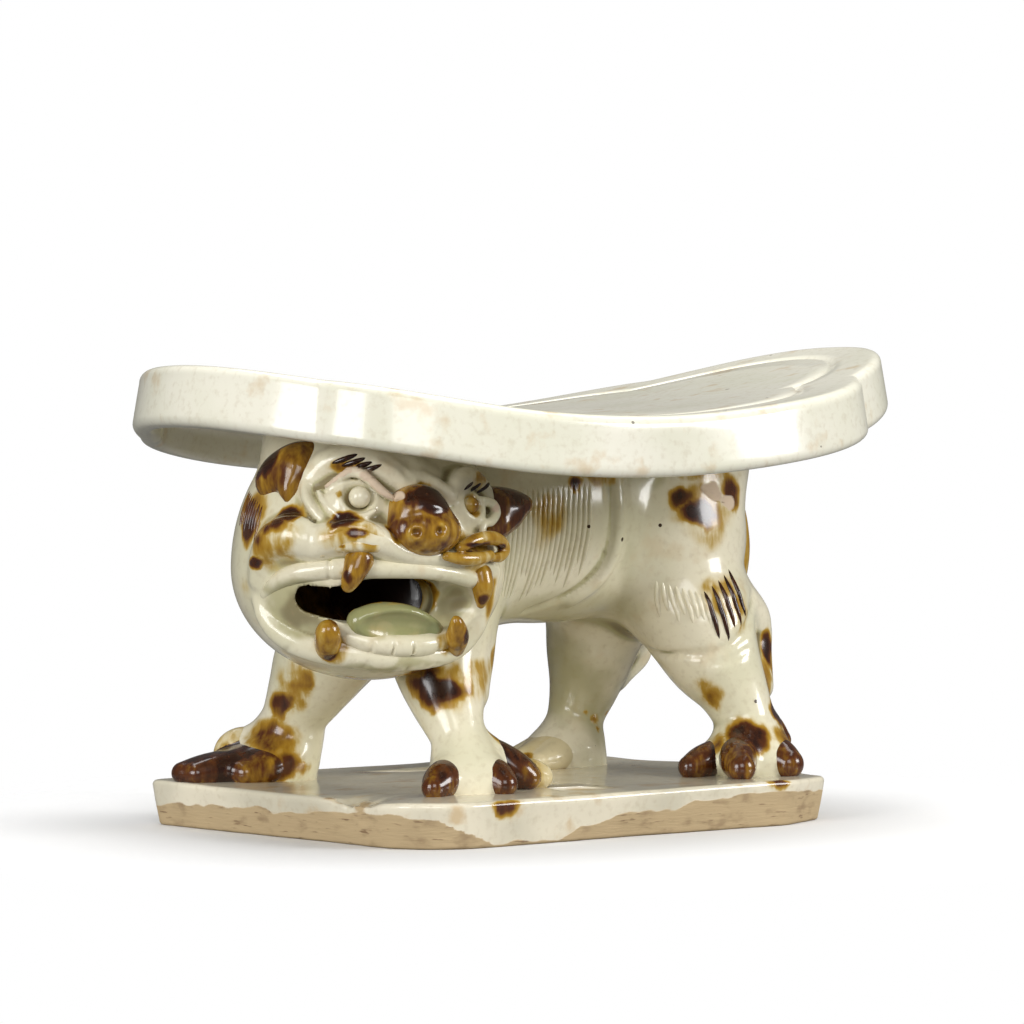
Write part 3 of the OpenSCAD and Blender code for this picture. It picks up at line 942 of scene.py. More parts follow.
@dataclass
class Workshop:
    """What every piece needs: paint, materials and the count of pieces."""

    painter: Painter
    materials: dict[Finish, bpy.types.Material]
    made: list[str] = field(default_factory=list)

    def piece(self, name: str, points: Array, faces: Sequence[Sequence[int]], finish: Finish,
              nodes: Sequence[str], **coats: float | Array) -> bpy.types.Object:
        """Make a finished piece that stands for some nodes of the part.

        Args:
            name: the piece's name.
            points: its points in millimetres.
            faces: rows of points.
            finish: its finish.
            nodes: the nodes that it stands for.
            coats: relief, iron and bare, as the painter takes them.

        Returns:
            The piece.
        """
        mesh = bpy.data.meshes.new(name)
        mesh.from_pydata((points * MM).tolist(), [], faces)
        mesh.shade_smooth()
        return self.dress(name, mesh, finish, nodes, **coats)

    def dress(self, name: str, mesh: bpy.types.Mesh, finish: Finish, nodes: Sequence[str],
              **coats: float | Array) -> bpy.types.Object:
        """Paint a mesh and let it ride with the part.

        Args:
            name: the piece's name.
            mesh: its mesh, in metres.
            finish: its finish.
            nodes: the nodes that it stands for.
            coats: relief, iron and bare, as the painter takes them.

        Returns:
            The piece.
        """
        self.painter.paint(mesh, **coats)
        mesh.materials.clear()
        mesh.materials.append(self.materials[finish])
        made = placed(name, mesh)
        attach(made, "root")
        if nodes:
            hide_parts(*nodes)
        self.made.append(name)
        LOG.info("%s: %d faces", name, len(mesh.polygons))
        return made

    def model(self, name: str, clay: ClayModel, finish: Finish, nodes: Sequence[str], smoothing: int = 6,
              iron: float = 0.0, toes: Sequence[tuple[Shape, float]] = ()) -> bpy.types.Object:
        """Make a finished piece from a clay model.

        Args:
            name: the piece's name.
            clay: the model.
            finish: its finish.
            nodes: the nodes that it stands for.
            smoothing: rounds of smoothing.
            iron: iron glaze over the whole piece.
            toes: shapes with an iron glaze of their own.

        Returns:
            The piece.
        """
        points, quads = clay.skin(smoothing)
        amount: float | Array = iron
        if toes:
            nearest = np.argmin([shape.distance(points) for shape, _ in toes], axis=0)
            amount = np.array([level for _, level in toes])[nearest]
        relief = sunk_below(points, quads)
        return self.piece(name, points, quads.tolist(), finish, nodes, relief=relief, iron=amount)


@dataclass
class Saddle:
    """The saddle curve of the headrest."""

    seat: float = 94.0
    radius: float = 295.0
    shift: float = 7.0

    def height(self, x: Array, depth: Array | float) -> Array:
        """Height of the saddle at a depth under the top face."""
        return self.seat + self.radius - np.sqrt((self.radius + depth)**2 - (x + self.shift)**2)


@dataclass
class AboveSaddle:
    """Everything over the underside of the headrest, for cutting the lion to fit."""

    saddle: Saddle
    depth: float
    low: Point = (-120.0, -120.0, 80.0)
    high: Point = (120.0, 120.0, 140.0)

    def box(self) -> tuple[Array, Array]:
        """Lowest and highest corner."""
        return np.array(self.low), np.array(self.high)

    def distance(self, points: Array) -> Array:
        """Distance of each place from the skin, below 0 inside."""
        return self.saddle.height(points[..., 0], self.depth) - points[..., 2]


def ring_faces(rings: int, around: int) -> list[list[int]]:
    """Faces between rings of points, closed by two more points, one for each end.

    Args:
        rings: count of the rings.
        around: points in a ring.

    Returns:
        Rows of points.
    """
    end = (rings - 1) * around
    first, last = rings * around, rings * around + 1
    steps = [(i, (i + 1) % around) for i in range(around)]
    faces = [[ring + around + i, ring + around + j, ring + j, ring + i]
             for ring in range(0, end, around) for i, j in steps]
    faces += [[i, j, first] for i, j in steps]
    return faces + [[end + j, end + i, last] for i, j in steps]


@dataclass(frozen=True)
class Lobe:
    """One lobe of an outline round the middle of the headrest, fuller than an ellipse above 2."""

    at: tuple[float, float]
    radii: tuple[float, float]
    fullness: float = 2.0

    BEYOND = 160.0
    HALVINGS = 32

    def reach(self, way: Array) -> Array:
        """Find the far side of the lobe by halving.

        Args:
            way: directions from the middle, one a row.

        Returns:
            The distance from the middle in each direction.
        """
        near, far = np.zeros(len(way)), np.full(len(way), self.BEYOND)
        for _ in range(self.HALVINGS):
            half = (near + far) / 2
            gap = np.abs((way * half[:, None] - np.array(self.at)) / np.array(self.radii))
            inside = (gap**self.fullness).sum(1) < 1
            near, far = np.where(inside, half, near), np.where(inside, far, half)
        return near


@dataclass
class Headrest:
    """Four-lobed saddle slab with a turned-down rim and a lobed line cut in its top."""

    saddle: Saddle
    skew: float = -6.0
    edge: Sequence[Lobe] = (
        Lobe((35, 0), (60, 49.5), 2.2),
        Lobe((-30, 0), (59, 62)),
        Lobe((-2.5, 19.4), (74.5, 45.4), 3.0),
        Lobe((-2.5, -19.8), (74.5, 45.4), 3.0),
    )
    line: Sequence[Lobe] = (
        Lobe((40, 0), (45, 37)),
        Lobe((-33, 0), (45, 47)),
        Lobe((-3, 12), (62.5, 43.5), 3.0),
        Lobe((-3, -12), (62.5, 43.5), 3.0),
    )
    slab: float = 6.0
    rim: float = 13.5
    wall: float = 5.0
    flare: float = 2.1
    edge_round: float = 2.6
    lip_round: float = 1.9
    corner_round: float = 2.0
    line_half_width: float = 1.2
    line_depth: float = 0.6
    notch_softness: float = 420.0
    uneven: float = 0.35
    wavy: float = 0.25
    around: int = 720

    # Shares of the way to the line, from the line to the edge, and inside the rim
    INNER_RINGS = (0.12, 0.3, 0.48, 0.64, 0.8, 0.92)
    BORDER_RINGS = (0.25, 0.5, 0.72)
    UNDER_INSETS = (12.0, 20.0)
    UNDER_RINGS = (0.62, 0.48, 0.3, 0.12)

    def outline(self, lobes: Sequence[Lobe], way: Array) -> Array:
        """Distance of an outline of lobes from the middle, with its notches a little soft.

        Args:
            lobes: the lobes.
            way: directions from the middle, one a row.

        Returns:
            One distance for each direction.
        """
        reaches = [lobe.reach(way) for lobe in lobes]
        best = np.max(reaches, axis=0)
        return best * sum((one / best)**self.notch_softness for one in reaches)**(1 / self.notch_softness)

    def rings(self, way: Array) -> list[tuple[Array, float]]:
        """Rings of the slab.

        Args:
            way: directions from the middle, one a row.

        Returns:
            Distance from the middle and depth of each ring, over the top and the edge to the underside.
        """
        reach, line = self.outline(self.edge, way), self.outline(self.line, way)
        arc = np.radians(np.linspace(0, 90, 8))
        edge, lip, corner = self.edge_round, self.lip_round, self.corner_round
        top = [(line * s, 0.0) for s in self.INNER_RINGS]
        top += [(line + self.line_half_width * s, self.line_depth * (1 - s * s))
                for s in np.linspace(-1, 1, 7)]
        top += [(line + (reach - line) * s, 0.0) for s in self.BORDER_RINGS]
        top += [(reach - edge * (1 - math.sin(a)), edge * (1 - math.cos(a))) for a in arc]
        foot = self.rim - lip
        side = [(reach, d) for d in np.linspace(edge + 1.5, foot - 1, 6)]
        side += [(reach - lip * (1 - math.cos(a)), foot + lip * math.sin(a)) for a in arc]
        inside = reach - self.wall
        back = [(inside + lip * (1 - math.sin(a)), foot + lip * math.cos(a)) for a in arc]
        back += [(inside, d) for d in np.linspace(foot - 1, self.slab + corner + 0.5, 4)]
        back += [(inside - corner * (1 - math.cos(a)), self.slab + corner * (1 - math.sin(a))) for a in arc]
        under = [(reach - inset, self.slab) for inset in self.UNDER_INSETS]
        under += [(reach * s, self.slab) for s in self.UNDER_RINGS]
        return top + side + back + under

    def build(self, shop: Workshop) -> None:
        """Model the headrest and hand it over.

        Args:
            shop: the workshop.
        """
        turn = np.linspace(0, 2 * math.pi, self.around, endpoint=False)
        way = np.stack([np.cos(turn), np.sin(turn)], 1)
        reach = self.outline(self.edge, way)
        rings = self.rings(way)
        rows = []
        for far, depth in rings:
            low = np.clip((depth - self.edge_round) / (self.rim - self.edge_round), 0, 1)
            outer = np.clip((far - 0.8 * reach) / (0.1 * reach), 0, 1)
            flat = way * (far + self.flare * np.abs(np.cos(turn)) * low * outer)[:, None]
            rows.append(np.column_stack([flat, self.saddle.height(flat[:, 0], depth)]))
        ends = np.array([[0, 0, self.saddle.height(0.0, depth)] for depth in (0.0, self.slab)])
        points = self._by_hand(np.vstack(rows + [ends]))
        c, s = math.cos(math.radians(self.skew)), math.sin(math.radians(self.skew))
        points[:, :2] = points[:, :2] @ np.array([[c, s], [-s, c]])
        shop.piece("headrest", points, ring_faces(len(rings), self.around), Finish.HEADREST,
                   ["headrest_slab", "headrest_rim"])

    def _by_hand(self, points: Array) -> Array:
        """Make the form a little uneven, as hands leave it, and never larger.

        Args:
            points: its points.

        Returns:
            The points in their new places.
        """
        size = np.linalg.norm(points[:, :2], axis=1, keepdims=True)
        wave = Wave.HEADREST_EDGE.at(points)[:, None] - 1
        inward = self.uneven * wave * points[:, :2] / np.maximum(size, 1)
        lift = self.wavy * (Wave.HEADREST_FACE.at(points * [1, 1, 0]) - 1)
        return points + np.column_stack([inward, lift * smooth_step(0, 30, size[:, 0])])


@dataclass
class BaseSlab:
    """Six-sided slab with worn edges, glazed on top and bare round its foot."""

    thick: float = BASE_TOP
    front: float = 74.0
    rear: float = 64.0
    near: float = 52.0
    far: float = 52.0
    corners: Stations = ((-1, 0.85, 4), (-0.84, -0.92, 18), (0.66, -1, 10),
                         (0.91, -0.88, 4), (1, -0.23, 20), (0.77, 0.88, 20))
    undercut: float = 1.6
    top_round: float = 1.1
    foot_round: float = 0.9
    wear: float = 0.9
    sag: float = 0.35
    chip: tuple[float, float] = (-63.0, -25.0)
    chip_reach: tuple[float, float] = (4.0, 7.5)
    chip_depth: float = 2.4
    chip_bite: float = 1.8
    spacing: float = 0.9

    # Shares of the way from the middle, and distances in from the edge
    TOP_RINGS = (0.06, 0.25, 0.45, 0.6)
    TOP_INSETS = (20.0, 10.0, 5.0, 2.5)
    FOOT_INSETS = (6.0, 20.0)
    FOOT_RINGS = (0.6, 0.3, 0.06)

    def outline(self) -> Array:
        """Go round the slab, with its corners rounded.

        Returns:
            Points of the outline, anticlockwise.
        """
        places = np.array([[c[0] * (self.front if c[0] < 0 else self.rear),
                            c[1] * (self.near if c[1] < 0 else self.far)] for c in self.corners])
        count = len(places)
        line = []
        for i in range(count):
            a, b, c = places[i - 1], places[i], places[(i + 1) % count]
            u, v = (a - b) / np.linalg.norm(a - b), (c - b) / np.linalg.norm(c - b)
            half = math.acos(float(u @ v)) / 2
            radius = self.corners[i][2]
            centre = b + (u + v) / np.linalg.norm(u + v) * radius / math.sin(half)
            start = b + u * radius / math.tan(half) - centre
            first = math.atan2(start[1], start[0])
            for t in np.linspace(0, math.pi - 2 * half, 12):
                line.append(centre + radius * np.array([math.cos(first + t), math.sin(first + t)]))
        line = np.array(line)
        closed = np.vstack([line, line[:1]])
        along = np.concatenate([[0], np.cumsum(np.linalg.norm(np.diff(closed, axis=0), axis=1))])
        marks = np.arange(0, along[-1], self.spacing)
        return np.column_stack([np.interp(marks, along, closed[:, i]) for i in range(2)])

    def build(self, shop: Workshop) -> None:
        """Model the slab and hand it over.

        Args:
            shop: the workshop.
        """
        line = self.outline()
        middle = line.mean(0)
        away = line - middle
        reach = np.linalg.norm(away, axis=1, keepdims=True)
        way = away / reach

        def level(flat: Array, height: float) -> Array:
            """Ring of points at a height."""
            return np.column_stack([flat, np.full(len(line), height)])

        rows = [level(middle + away * share, self.thick) for share in self.TOP_RINGS]
        rows += [level(middle + way * np.maximum(reach - inset, 2), height)
                 for inset, height in self._section()]
        rows += [level(middle + away * share, 0.0) for share in self.FOOT_RINGS]
        ends = np.array([[*middle, self.thick], [*middle, 0.0]])
        points = self._worn(np.vstack(rows + [ends]), middle)
        shop.piece("base_slab", points, ring_faces(len(rows), len(line)), Finish.BASE, ["base_slab"],
                   bare=foot_of_base(points))

    def _section(self) -> list[tuple[float, float]]:
        """Section of the edge.

        Returns:
            Distance in from the outline and height of each ring, from the top down.
        """
        arc = np.radians(np.linspace(0, 90, 6))
        top, foot = self.top_round, self.foot_round
        drop = self.thick - top - foot
        rings = [(inset, self.thick) for inset in self.TOP_INSETS]
        rings += [(top * (1 - math.sin(a)), self.thick - top * (1 - math.cos(a))) for a in arc]
        rings += [(self.undercut * s, self.thick - top - drop * s) for s in np.linspace(0.1, 1, 9)]
        rings += [(self.undercut + foot * (1 - math.cos(a)), foot * (1 - math.sin(a))) for a in arc[1:]]
        return rings + [(inset, 0.0) for inset in self.FOOT_INSETS]

    def _worn(self, points: Array, middle: Array) -> Array:
        """Wear the edges and knock out the chip, always inward.

        Args:
            points: points of the slab.
            middle: middle of its outline.

        Returns:
            The points in their new places.
        """
        worn = points.copy()
        out = points[:, :2] - middle
        far = np.linalg.norm(out, axis=1)
        out = out / np.maximum(far, 1)[:, None]
        wave = Wave.BASE_SIDE.at(points) * 0.5 + Wave.BASE_NICKS.at(points) * 0.25 - 0.75
        edge = smooth_step(self.near * 0.5, self.near * 0.8, far)
        worn[:, :2] += out * (self.wear * wave * edge)[:, None]
        high = smooth_step(2, self.thick, points[:, 2])
        worn[:, 2] += high * self.sag * (Wave.BASE_FACE.at(points * [1, 1, 0]) - 1)
        near = np.exp(-(((points[:, :2] - np.array(self.chip)) / self.chip_reach)**2).sum(1))
        rough = 0.7 + 0.5 * Wave.CHIP.at(points)
        worn[:, 2] -= self.chip_depth * near * rough * smooth_step(4, self.thick, points[:, 2])
        worn[:, :2] -= out * (self.chip_bite * near * rough * high)[:, None]
        return worn


class Leg(Enum):
    """The lion's four legs; left is the side that the face looks at."""

    LEFT_FORE = "left_fore"
    RIGHT_FORE = "right_fore"
    LEFT_HIND = "left_hind"
    RIGHT_HIND = "right_hind"


@dataclass
class LionBody:
    """Barrel, haunches and legs of the lion, modelled as one skin."""

    saddle: Saddle
    paws: "Paws"
    floor: float = BASE_TOP
    bedded: float = 0.6
    sunk: float = 3.0
    grain: float = 0.7
    low: Point = (-62.0, -44.0, 6.0)
    high: Point = (76.0, 46.0, 104.0)
    barrel: Sequence[Ball] = (
        Ball((8, 0, 72), (54, 21.5, 26.5)),
        Ball((-22, 0, 68), (24, 20, 24)),
        Ball((41.5, 0, 71), (19.6, 22.5, 29)),
        Ball((9, 0, 92), (60, 21, 15)),
    )
    haunches: Sequence[Ball] = (
        Ball((40, -10.5, 63), (17.2, 14.5, 20)),
        Ball((38, 10.5, 63), (22, 14, 20)),
        Ball((44, -4, 84), (18.6, 18.5, 15)),
        Ball((-29, -9, 54), (13, 13, 17)),
        Ball((-34, 11, 55), (15, 14, 18)),
    )
    legs: dict[Leg, Stations] = field(default_factory=lambda: {
        Leg.LEFT_FORE: ((-29, -9, 46, 12), (-31, -13, 38, 10.5), (-32, -17, 31, 8.6), (-33, -20, 27, 7.2),
                        (-33.6, -23, 22.5, 6.1), (-33.8, -25, 17.5, 6.2), (-34.2, -27.5, 11.5, 8.6)),
        Leg.RIGHT_FORE: ((-36, 14, 48, 12), (-39.5, 19, 39, 11.4), (-41.5, 22.5, 32, 9.4),
                         (-43, 25.5, 26, 7.7), (-43.6, 28, 20, 7.6), (-45.5, 29.5, 13, 9.4)),
        Leg.LEFT_HIND: ((42, -17, 46, 13.5), (43.5, -20.5, 38, 11.2), (46.5, -23.5, 31, 8.6),
                        (48.5, -26, 24, 7.2), (49, -27.5, 18, 7.6), (48.5, -29, 12, 9.8)),
        Leg.RIGHT_HIND: ((36, 13, 46, 12), (35.5, 14, 39, 11), (35, 16, 30, 8.6), (33, 17, 22, 6.9),
                         (31.5, 17, 15, 7.8), (30, 17, 10, 10)),
    })
    knobs: Sequence[Roll] = (
        Roll(((47, -15, 51, 8), (55.6, -17, 47, 6.4), (58.6, -17.5, 43, 5.0), (58.6, -19, 38, 4.0),
              (57, -22, 30, 3.6))),
        Roll(((42, 14, 46, 7), (48, 15, 40, 5), (50, 15, 36, 3.6), (45, 16, 31, 3.0))),
        Roll(((-22, -8, 47, 6), (-21.5, -12, 39, 4.6), (-24.5, -16, 31.5, 3.4))),
        Roll(((-26, 14, 50, 6), (-27, 19, 40, 5), (-32, 23, 32, 3.6))),
    )
    fold: Stations = ((11.6, 86, 0.1, 0.6), (12, 77, 0.1, 0.7), (12.2, 68, 0.1, 0.8), (11.6, 62, 0.1, 0.8),
                      (9.8, 57.5, 0.1, 0.8), (6, 53.5, 0.1, 0.7), (1, 50.5, 0.1, 0.6), (-4, 49, 0.2, 0.4))
    fold_ridge: Stations = ((14, 84, -1.0, 1.6), (14.4, 76, -0.9, 1.7), (14.4, 67, -0.9, 1.8),
                            (13.6, 60.5, -0.9, 1.8), (11.4, 55.5, -1.0, 1.6), (7, 51.5, -1.0, 1.3))
    thigh_line: Stations = ((30.5, 38.5, 0.3, 0.5), (35, 38.4, 0.2, 0.9), (40, 40.2, 0.2, 1.1),
                            (45, 43.6, 0.2, 1.2), (49.5, 47.6, 0.2, 1.1), (53.5, 51.6, 0.3, 0.8))
    shank_line: Stations = ((36, 36.2, 0.3, 0.6), (40.5, 37.4, 0.2, 0.9), (45, 39.6, 0.3, 0.7))

    def build(self, shop: Workshop) -> bpy.types.Object:
        """Model the body and hand it over.

        Args:
            shop: the workshop.

        Returns:
            The body.
        """
        clay = ClayModel(self.low, self.high, self.grain)
        clay.add(9.0, *self.barrel)
        clay.add(7.0, *self.haunches)
        clay.add(6.0, *(Roll(stations) for stations in self.legs.values()))
        clay.add(5.0, *self.knobs)
        for leg, stations in self.legs.items():
            clay.add(3.0, *self.paws.pads(leg, stations))
        clay.add(2.2, clay.laid(*self.fold_ridge))
        clay.cut(1.6, clay.laid(*self.fold))
        clay.cut(1.3, clay.laid(*self.thigh_line), clay.laid(*self.shank_line))
        clay.cut(0.8, AboveSaddle(self.saddle, self.sunk), ground(self.floor - self.bedded))
        return shop.model("lion_body", clay, Finish.LION, [
            "body_left", "body_right", "left_foreleg", "right_foreleg", "left_hindleg", "right_hindleg"])


@dataclass
class LionHead:
    """Open-mouthed head that looks over the lion's left side."""

    saddle: Saddle
    place: Point = (-50.0, -12.0, 60.0)
    turn: float = -8.0
    half_width: float = 31.0
    half_depth: float = 28.0
    chin: float = 25.0
    crown: float = 36.0
    sunk: float = 3.0
    grain: float = 0.55
    low: Point = (-90.0, -50.0, 30.0)
    high: Point = (-12.0, 26.0, 100.0)

    def at(self, x: float, y: float, z: float) -> Point:
        """Place in the part's frame of a place in the head's own, which has the face toward -y."""
        c, s = math.cos(math.radians(self.turn)), math.sin(math.radians(self.turn))
        return (self.place[0] + c * x - s * y, self.place[1] + s * x + c * y, self.place[2] + z)

    def face(self, x: float, z: float, out: float = 0.0) -> Point:
        """Place on the face, a little off the ball of the head.

        Args:
            x: place across the face, toward the lion's left.
            z: height above the middle of the head.
            out: distance off the ball.

        Returns:
            The place in the part's frame.
        """
        tall = self.crown if z > 0 else self.chin
        share = max(1 - (x / self.half_width)**2 - (z / tall)**2, 0.01)
        y = -self.half_depth * math.sqrt(share)
        slope = np.array([x / self.half_width**2, y / self.half_depth**2, z / tall**2])
        spot = np.array([x, y, z]) + out * slope / np.linalg.norm(slope)
        return self.at(*spot)

    def face_roll(self, *stations: Sequence[float]) -> Roll:
        """Roll on the face; each station is place across, height, distance off the ball and radius."""
        return Roll([(*self.face(x, z, out), radius) for x, z, out, radius in stations])

    def roll(self, *stations: Sequence[float]) -> Roll:
        """Roll in the head's own frame; each station is x, y, z and radius."""
        return Roll([(*self.at(x, y, z), radius) for x, y, z, radius in stations])

    def ball(self, at: Point, radii: Point) -> Ball:
        """Ball of clay in the head's own frame."""
        return Ball(self.at(*at), radii, self.turn)

    def build(self, shop: Workshop) -> bpy.types.Object:
        """Model the head and hand it over.

        Args:
            shop: the workshop.

        Returns:
            The head.
        """
        clay = ClayModel(self.low, self.high, self.grain)
        radii = (self.half_width, self.half_depth, self.crown)
        clay.add(1.0, Ball(self.at(0, 0, 0), radii, self.turn, self.chin))
        clay.add(6.0, self.ball((4, 8, 28), (24, 20, 18)))
        self._mouth(clay)
        self._lips(clay)
        self._right_eye(clay)
        self._left_eye(clay)
        clay.cut(0.8, AboveSaddle(self.saddle, self.sunk))
        nodes = ["head", "upper_lip", "lower_lip", "right_brow", "left_brow"]
        return shop.model("lion_head", clay, Finish.LION, nodes, smoothing=3)

    def _mouth(self, clay: ClayModel) -> None:
        """Open the mouth into the hollow head.

        Args:
            clay: the model of the head.
        """
        clay.cut(1.0, self.ball((-5, -27.5, -8.2), (25.5, 10.5, 7.6)))
        for back in (0, 5, 10):
            clay.cut(0.5, self.roll((-21.5, back - 15, -5.4, 3.9), (-15, back - 18.5, -6.2, 5),
                                    (-5, back - 20.5, -6.4, 5.2), (2.6, back - 20, -6.5, 4.9)))
        clay.cut(1.0, self.ball((-2, 3, -2), (22, 16, 17)))

    def _lips(self, clay: ClayModel) -> None:
        """Roll the lips along the mouth.

        Args:
            clay: the model of the head.
        """
        clay.add(2.6, self.face_roll(
            (-30.4, -2, -0.6, 1.4), (-29.9, 2.6, -0.2, 2.8), (-28, 6.4, 0.3, 4.3), (-25.4, 7.4, 0.6, 4.6),
            (-22.8, 6.2, 0.3, 3.8), (-19.4, 7, 0.8, 3.8), (-15.4, 7.4, 1.2, 3.8), (-11.2, 6.4, 1, 3.2),
            (-7.4, 4.4, 0.7, 2.2), (-3, 3.2, 0.3, 1.5), (3, 2.9, 0.3, 1.4), (9, 2.4, 0.2, 1.4),
            (15, 1.4, 0, 1.4), (20, -0.6, -0.3, 1.3)))
        clay.cut(1.6, self.face_roll((-23.2, 12, 4.6, 1.3), (-22.8, 7, 5.6, 1.5), (-23, 2, 4.6, 1.3)))
        clay.add(1.4, self.face_roll(
            (-29.4, -7.2, -0.6, 1.3), (-27.8, -10.2, -0.2, 2.2), (-24.8, -13.6, 0.1, 2.9),
            (-20, -16.3, 0.3, 3.2), (-12, -18, 0.3, 3.2), (-3, -18.8, 0.3, 3.1), (6, -18.4, 0.3, 3),
            (12.5, -16.8, 0.2, 2.8), (16.8, -13.2, 0, 2.1), (18.8, -8.5, -0.4, 1.7),
            (19.8, -4.5, -0.6, 1.5), (20, -1.5, -0.6, 1.3)))
        clay.cut(0.9, self.face_roll(
            (-28.2, -11.8, 1.4, 0.4), (-26.2, -15.2, 2, 0.6), (-22.4, -18.2, 2.4, 0.6),
            (-15.6, -20.6, 2.5, 0.7), (-4, -21.6, 2.5, 0.7), (7, -21.2, 2.4, 0.6), (14, -19.2, 2, 0.5)))
        for x, z in ((-22.6, -14.4), (-9.8, -17.4), (-1, -18), (5.6, -17.6)):
            clay.cut(0.5, self.face_roll(
                (x, z + 2.6, 2.6, 0.4), (x - 0.1, z + 0.6, 3.5, 0.5), (x - 0.3, z - 1.6, 3.4, 0.4)))

    def _right_eye(self, clay: ClayModel) -> None:
        """Add the right brow, the lids and the folds round the eye.

        Args:
            clay: the model of the head.
        """
        clay.add(3.0, self.face_roll(
            (-20, 25.4, -2.6, 3), (-14, 27.6, -1.8, 3.8), (-7.5, 26.4, -1.4, 3.8), (-2, 23.4, -1.2, 3.2),
            (3, 20.6, -1.4, 2.4)))
        clay.add(2.4, self.face_roll(
            (-20.8, 21, -0.8, 2.2), (-17.4, 23.2, -0.1, 3.1), (-13.2, 24, 0.3, 3.5),
            (-9.2, 22.8, 0.5, 3.3), (-5.8, 20.6, 0.4, 2.8), (-2.8, 18.6, 0.2, 2)))
        clay.add(2.0, Ball(self.face(-15, 15.2, -2.6), (6.6, 5.4, 5.4), self.turn))
        clay.add(0.9, self.face_roll(
            (-22.4, 18.6, 0, 1), (-22.7, 15.7, 0.4, 1.2), (-22.2, 13.4, 0.5, 1.2),
            (-21, 11.2, 0.4, 1.1), (-18.4, 9.8, 0.2, 0.8)))
        clay.cut(0.7, self.face_roll(
            (-24, 18, 0.5, 0.6), (-24.4, 15, 0.7, 0.8), (-23.8, 12.6, 0.7, 0.8), (-22.4, 10.4, 0.6, 0.6)))
        clay.add(0.6, self.face_roll(
            (-20.6, 16.8, 0.9, 0.6), (-20.2, 14.7, 1.2, 0.7), (-19.2, 12.7, 1.5, 0.75),
            (-17.2, 11.2, 1.8, 0.8), (-14.4, 11.2, 1.9, 0.75), (-11.4, 12.6, 1.6, 0.6)))
        clay.cut(0.8, Ball(self.face(-13.8, 15.6, 3), (3.9, 3.9, 3.9)))
        clay.add(0.7, self.face_roll(
            (-18.9, 17.7, 1.2, 0.7), (-15.8, 19.5, 2.2, 1), (-14, 20.1, 2.6, 1.2),
            (-12.3, 19.4, 2.8, 1.2), (-10.8, 17.8, 2.6, 1.1), (-9.2, 16.2, 2, 1),
            (-7.4, 15.1, 1.4, 0.7)))
        for shift in (0, 1.8, 3.6):
            clay.cut(0.8, self.face_roll(
                (-9.5 + shift, 20.6 + shift, 3.9, 0.5), (-7 + shift, 19.4 + 0.9 * shift, 3.7, 0.7),
                (-4.6 + shift, 17.2 + 0.7 * shift, 2.4, 0.5)))

    def _left_eye(self, clay: ClayModel) -> None:
        """Add the left brow, the broken rim of the eye and the bridge over the nose.

        Args:
            clay: the model of the head.
        """
        clay.add(1.6, self.face_roll(
            (6.4, 16.4, 0, 1.5), (9.2, 18.4, 0.6, 2.1), (12.6, 19.6, 0.8, 2.5), (15.8, 18.6, 0.8, 2.3),
            (18.8, 16.6, 0.5, 1.9), (20.4, 14.6, 0.2, 1.3)))
        clay.add(1.5, Ball(self.face(12.8, 13.2, -2.4), (5.4, 4.8, 4.8), self.turn))
        clay.cut(0.8, Ball(self.face(12.4, 13.8, 3), (3.2, 3.2, 3.2)))
        clay.add(0.6, self.face_roll(
            (15.4, 14.6, 1.6, 0.9), (18.4, 13.7, 1.6, 1.3), (19.7, 11.9, 1.5, 1.3), (17.2, 10, 1.6, 1.1),
            (14.5, 9.4, 1.7, 0.9), (13.8, 7.6, 1.4, 0.8)))
        clay.add(1.4, self.face_roll(
            (-4.4, 18.8, 0.4, 1.2), (-1, 19.8, 0.8, 1.5), (3.4, 18.2, 1, 1.4), (7, 15.8, 0.8, 1.1)))


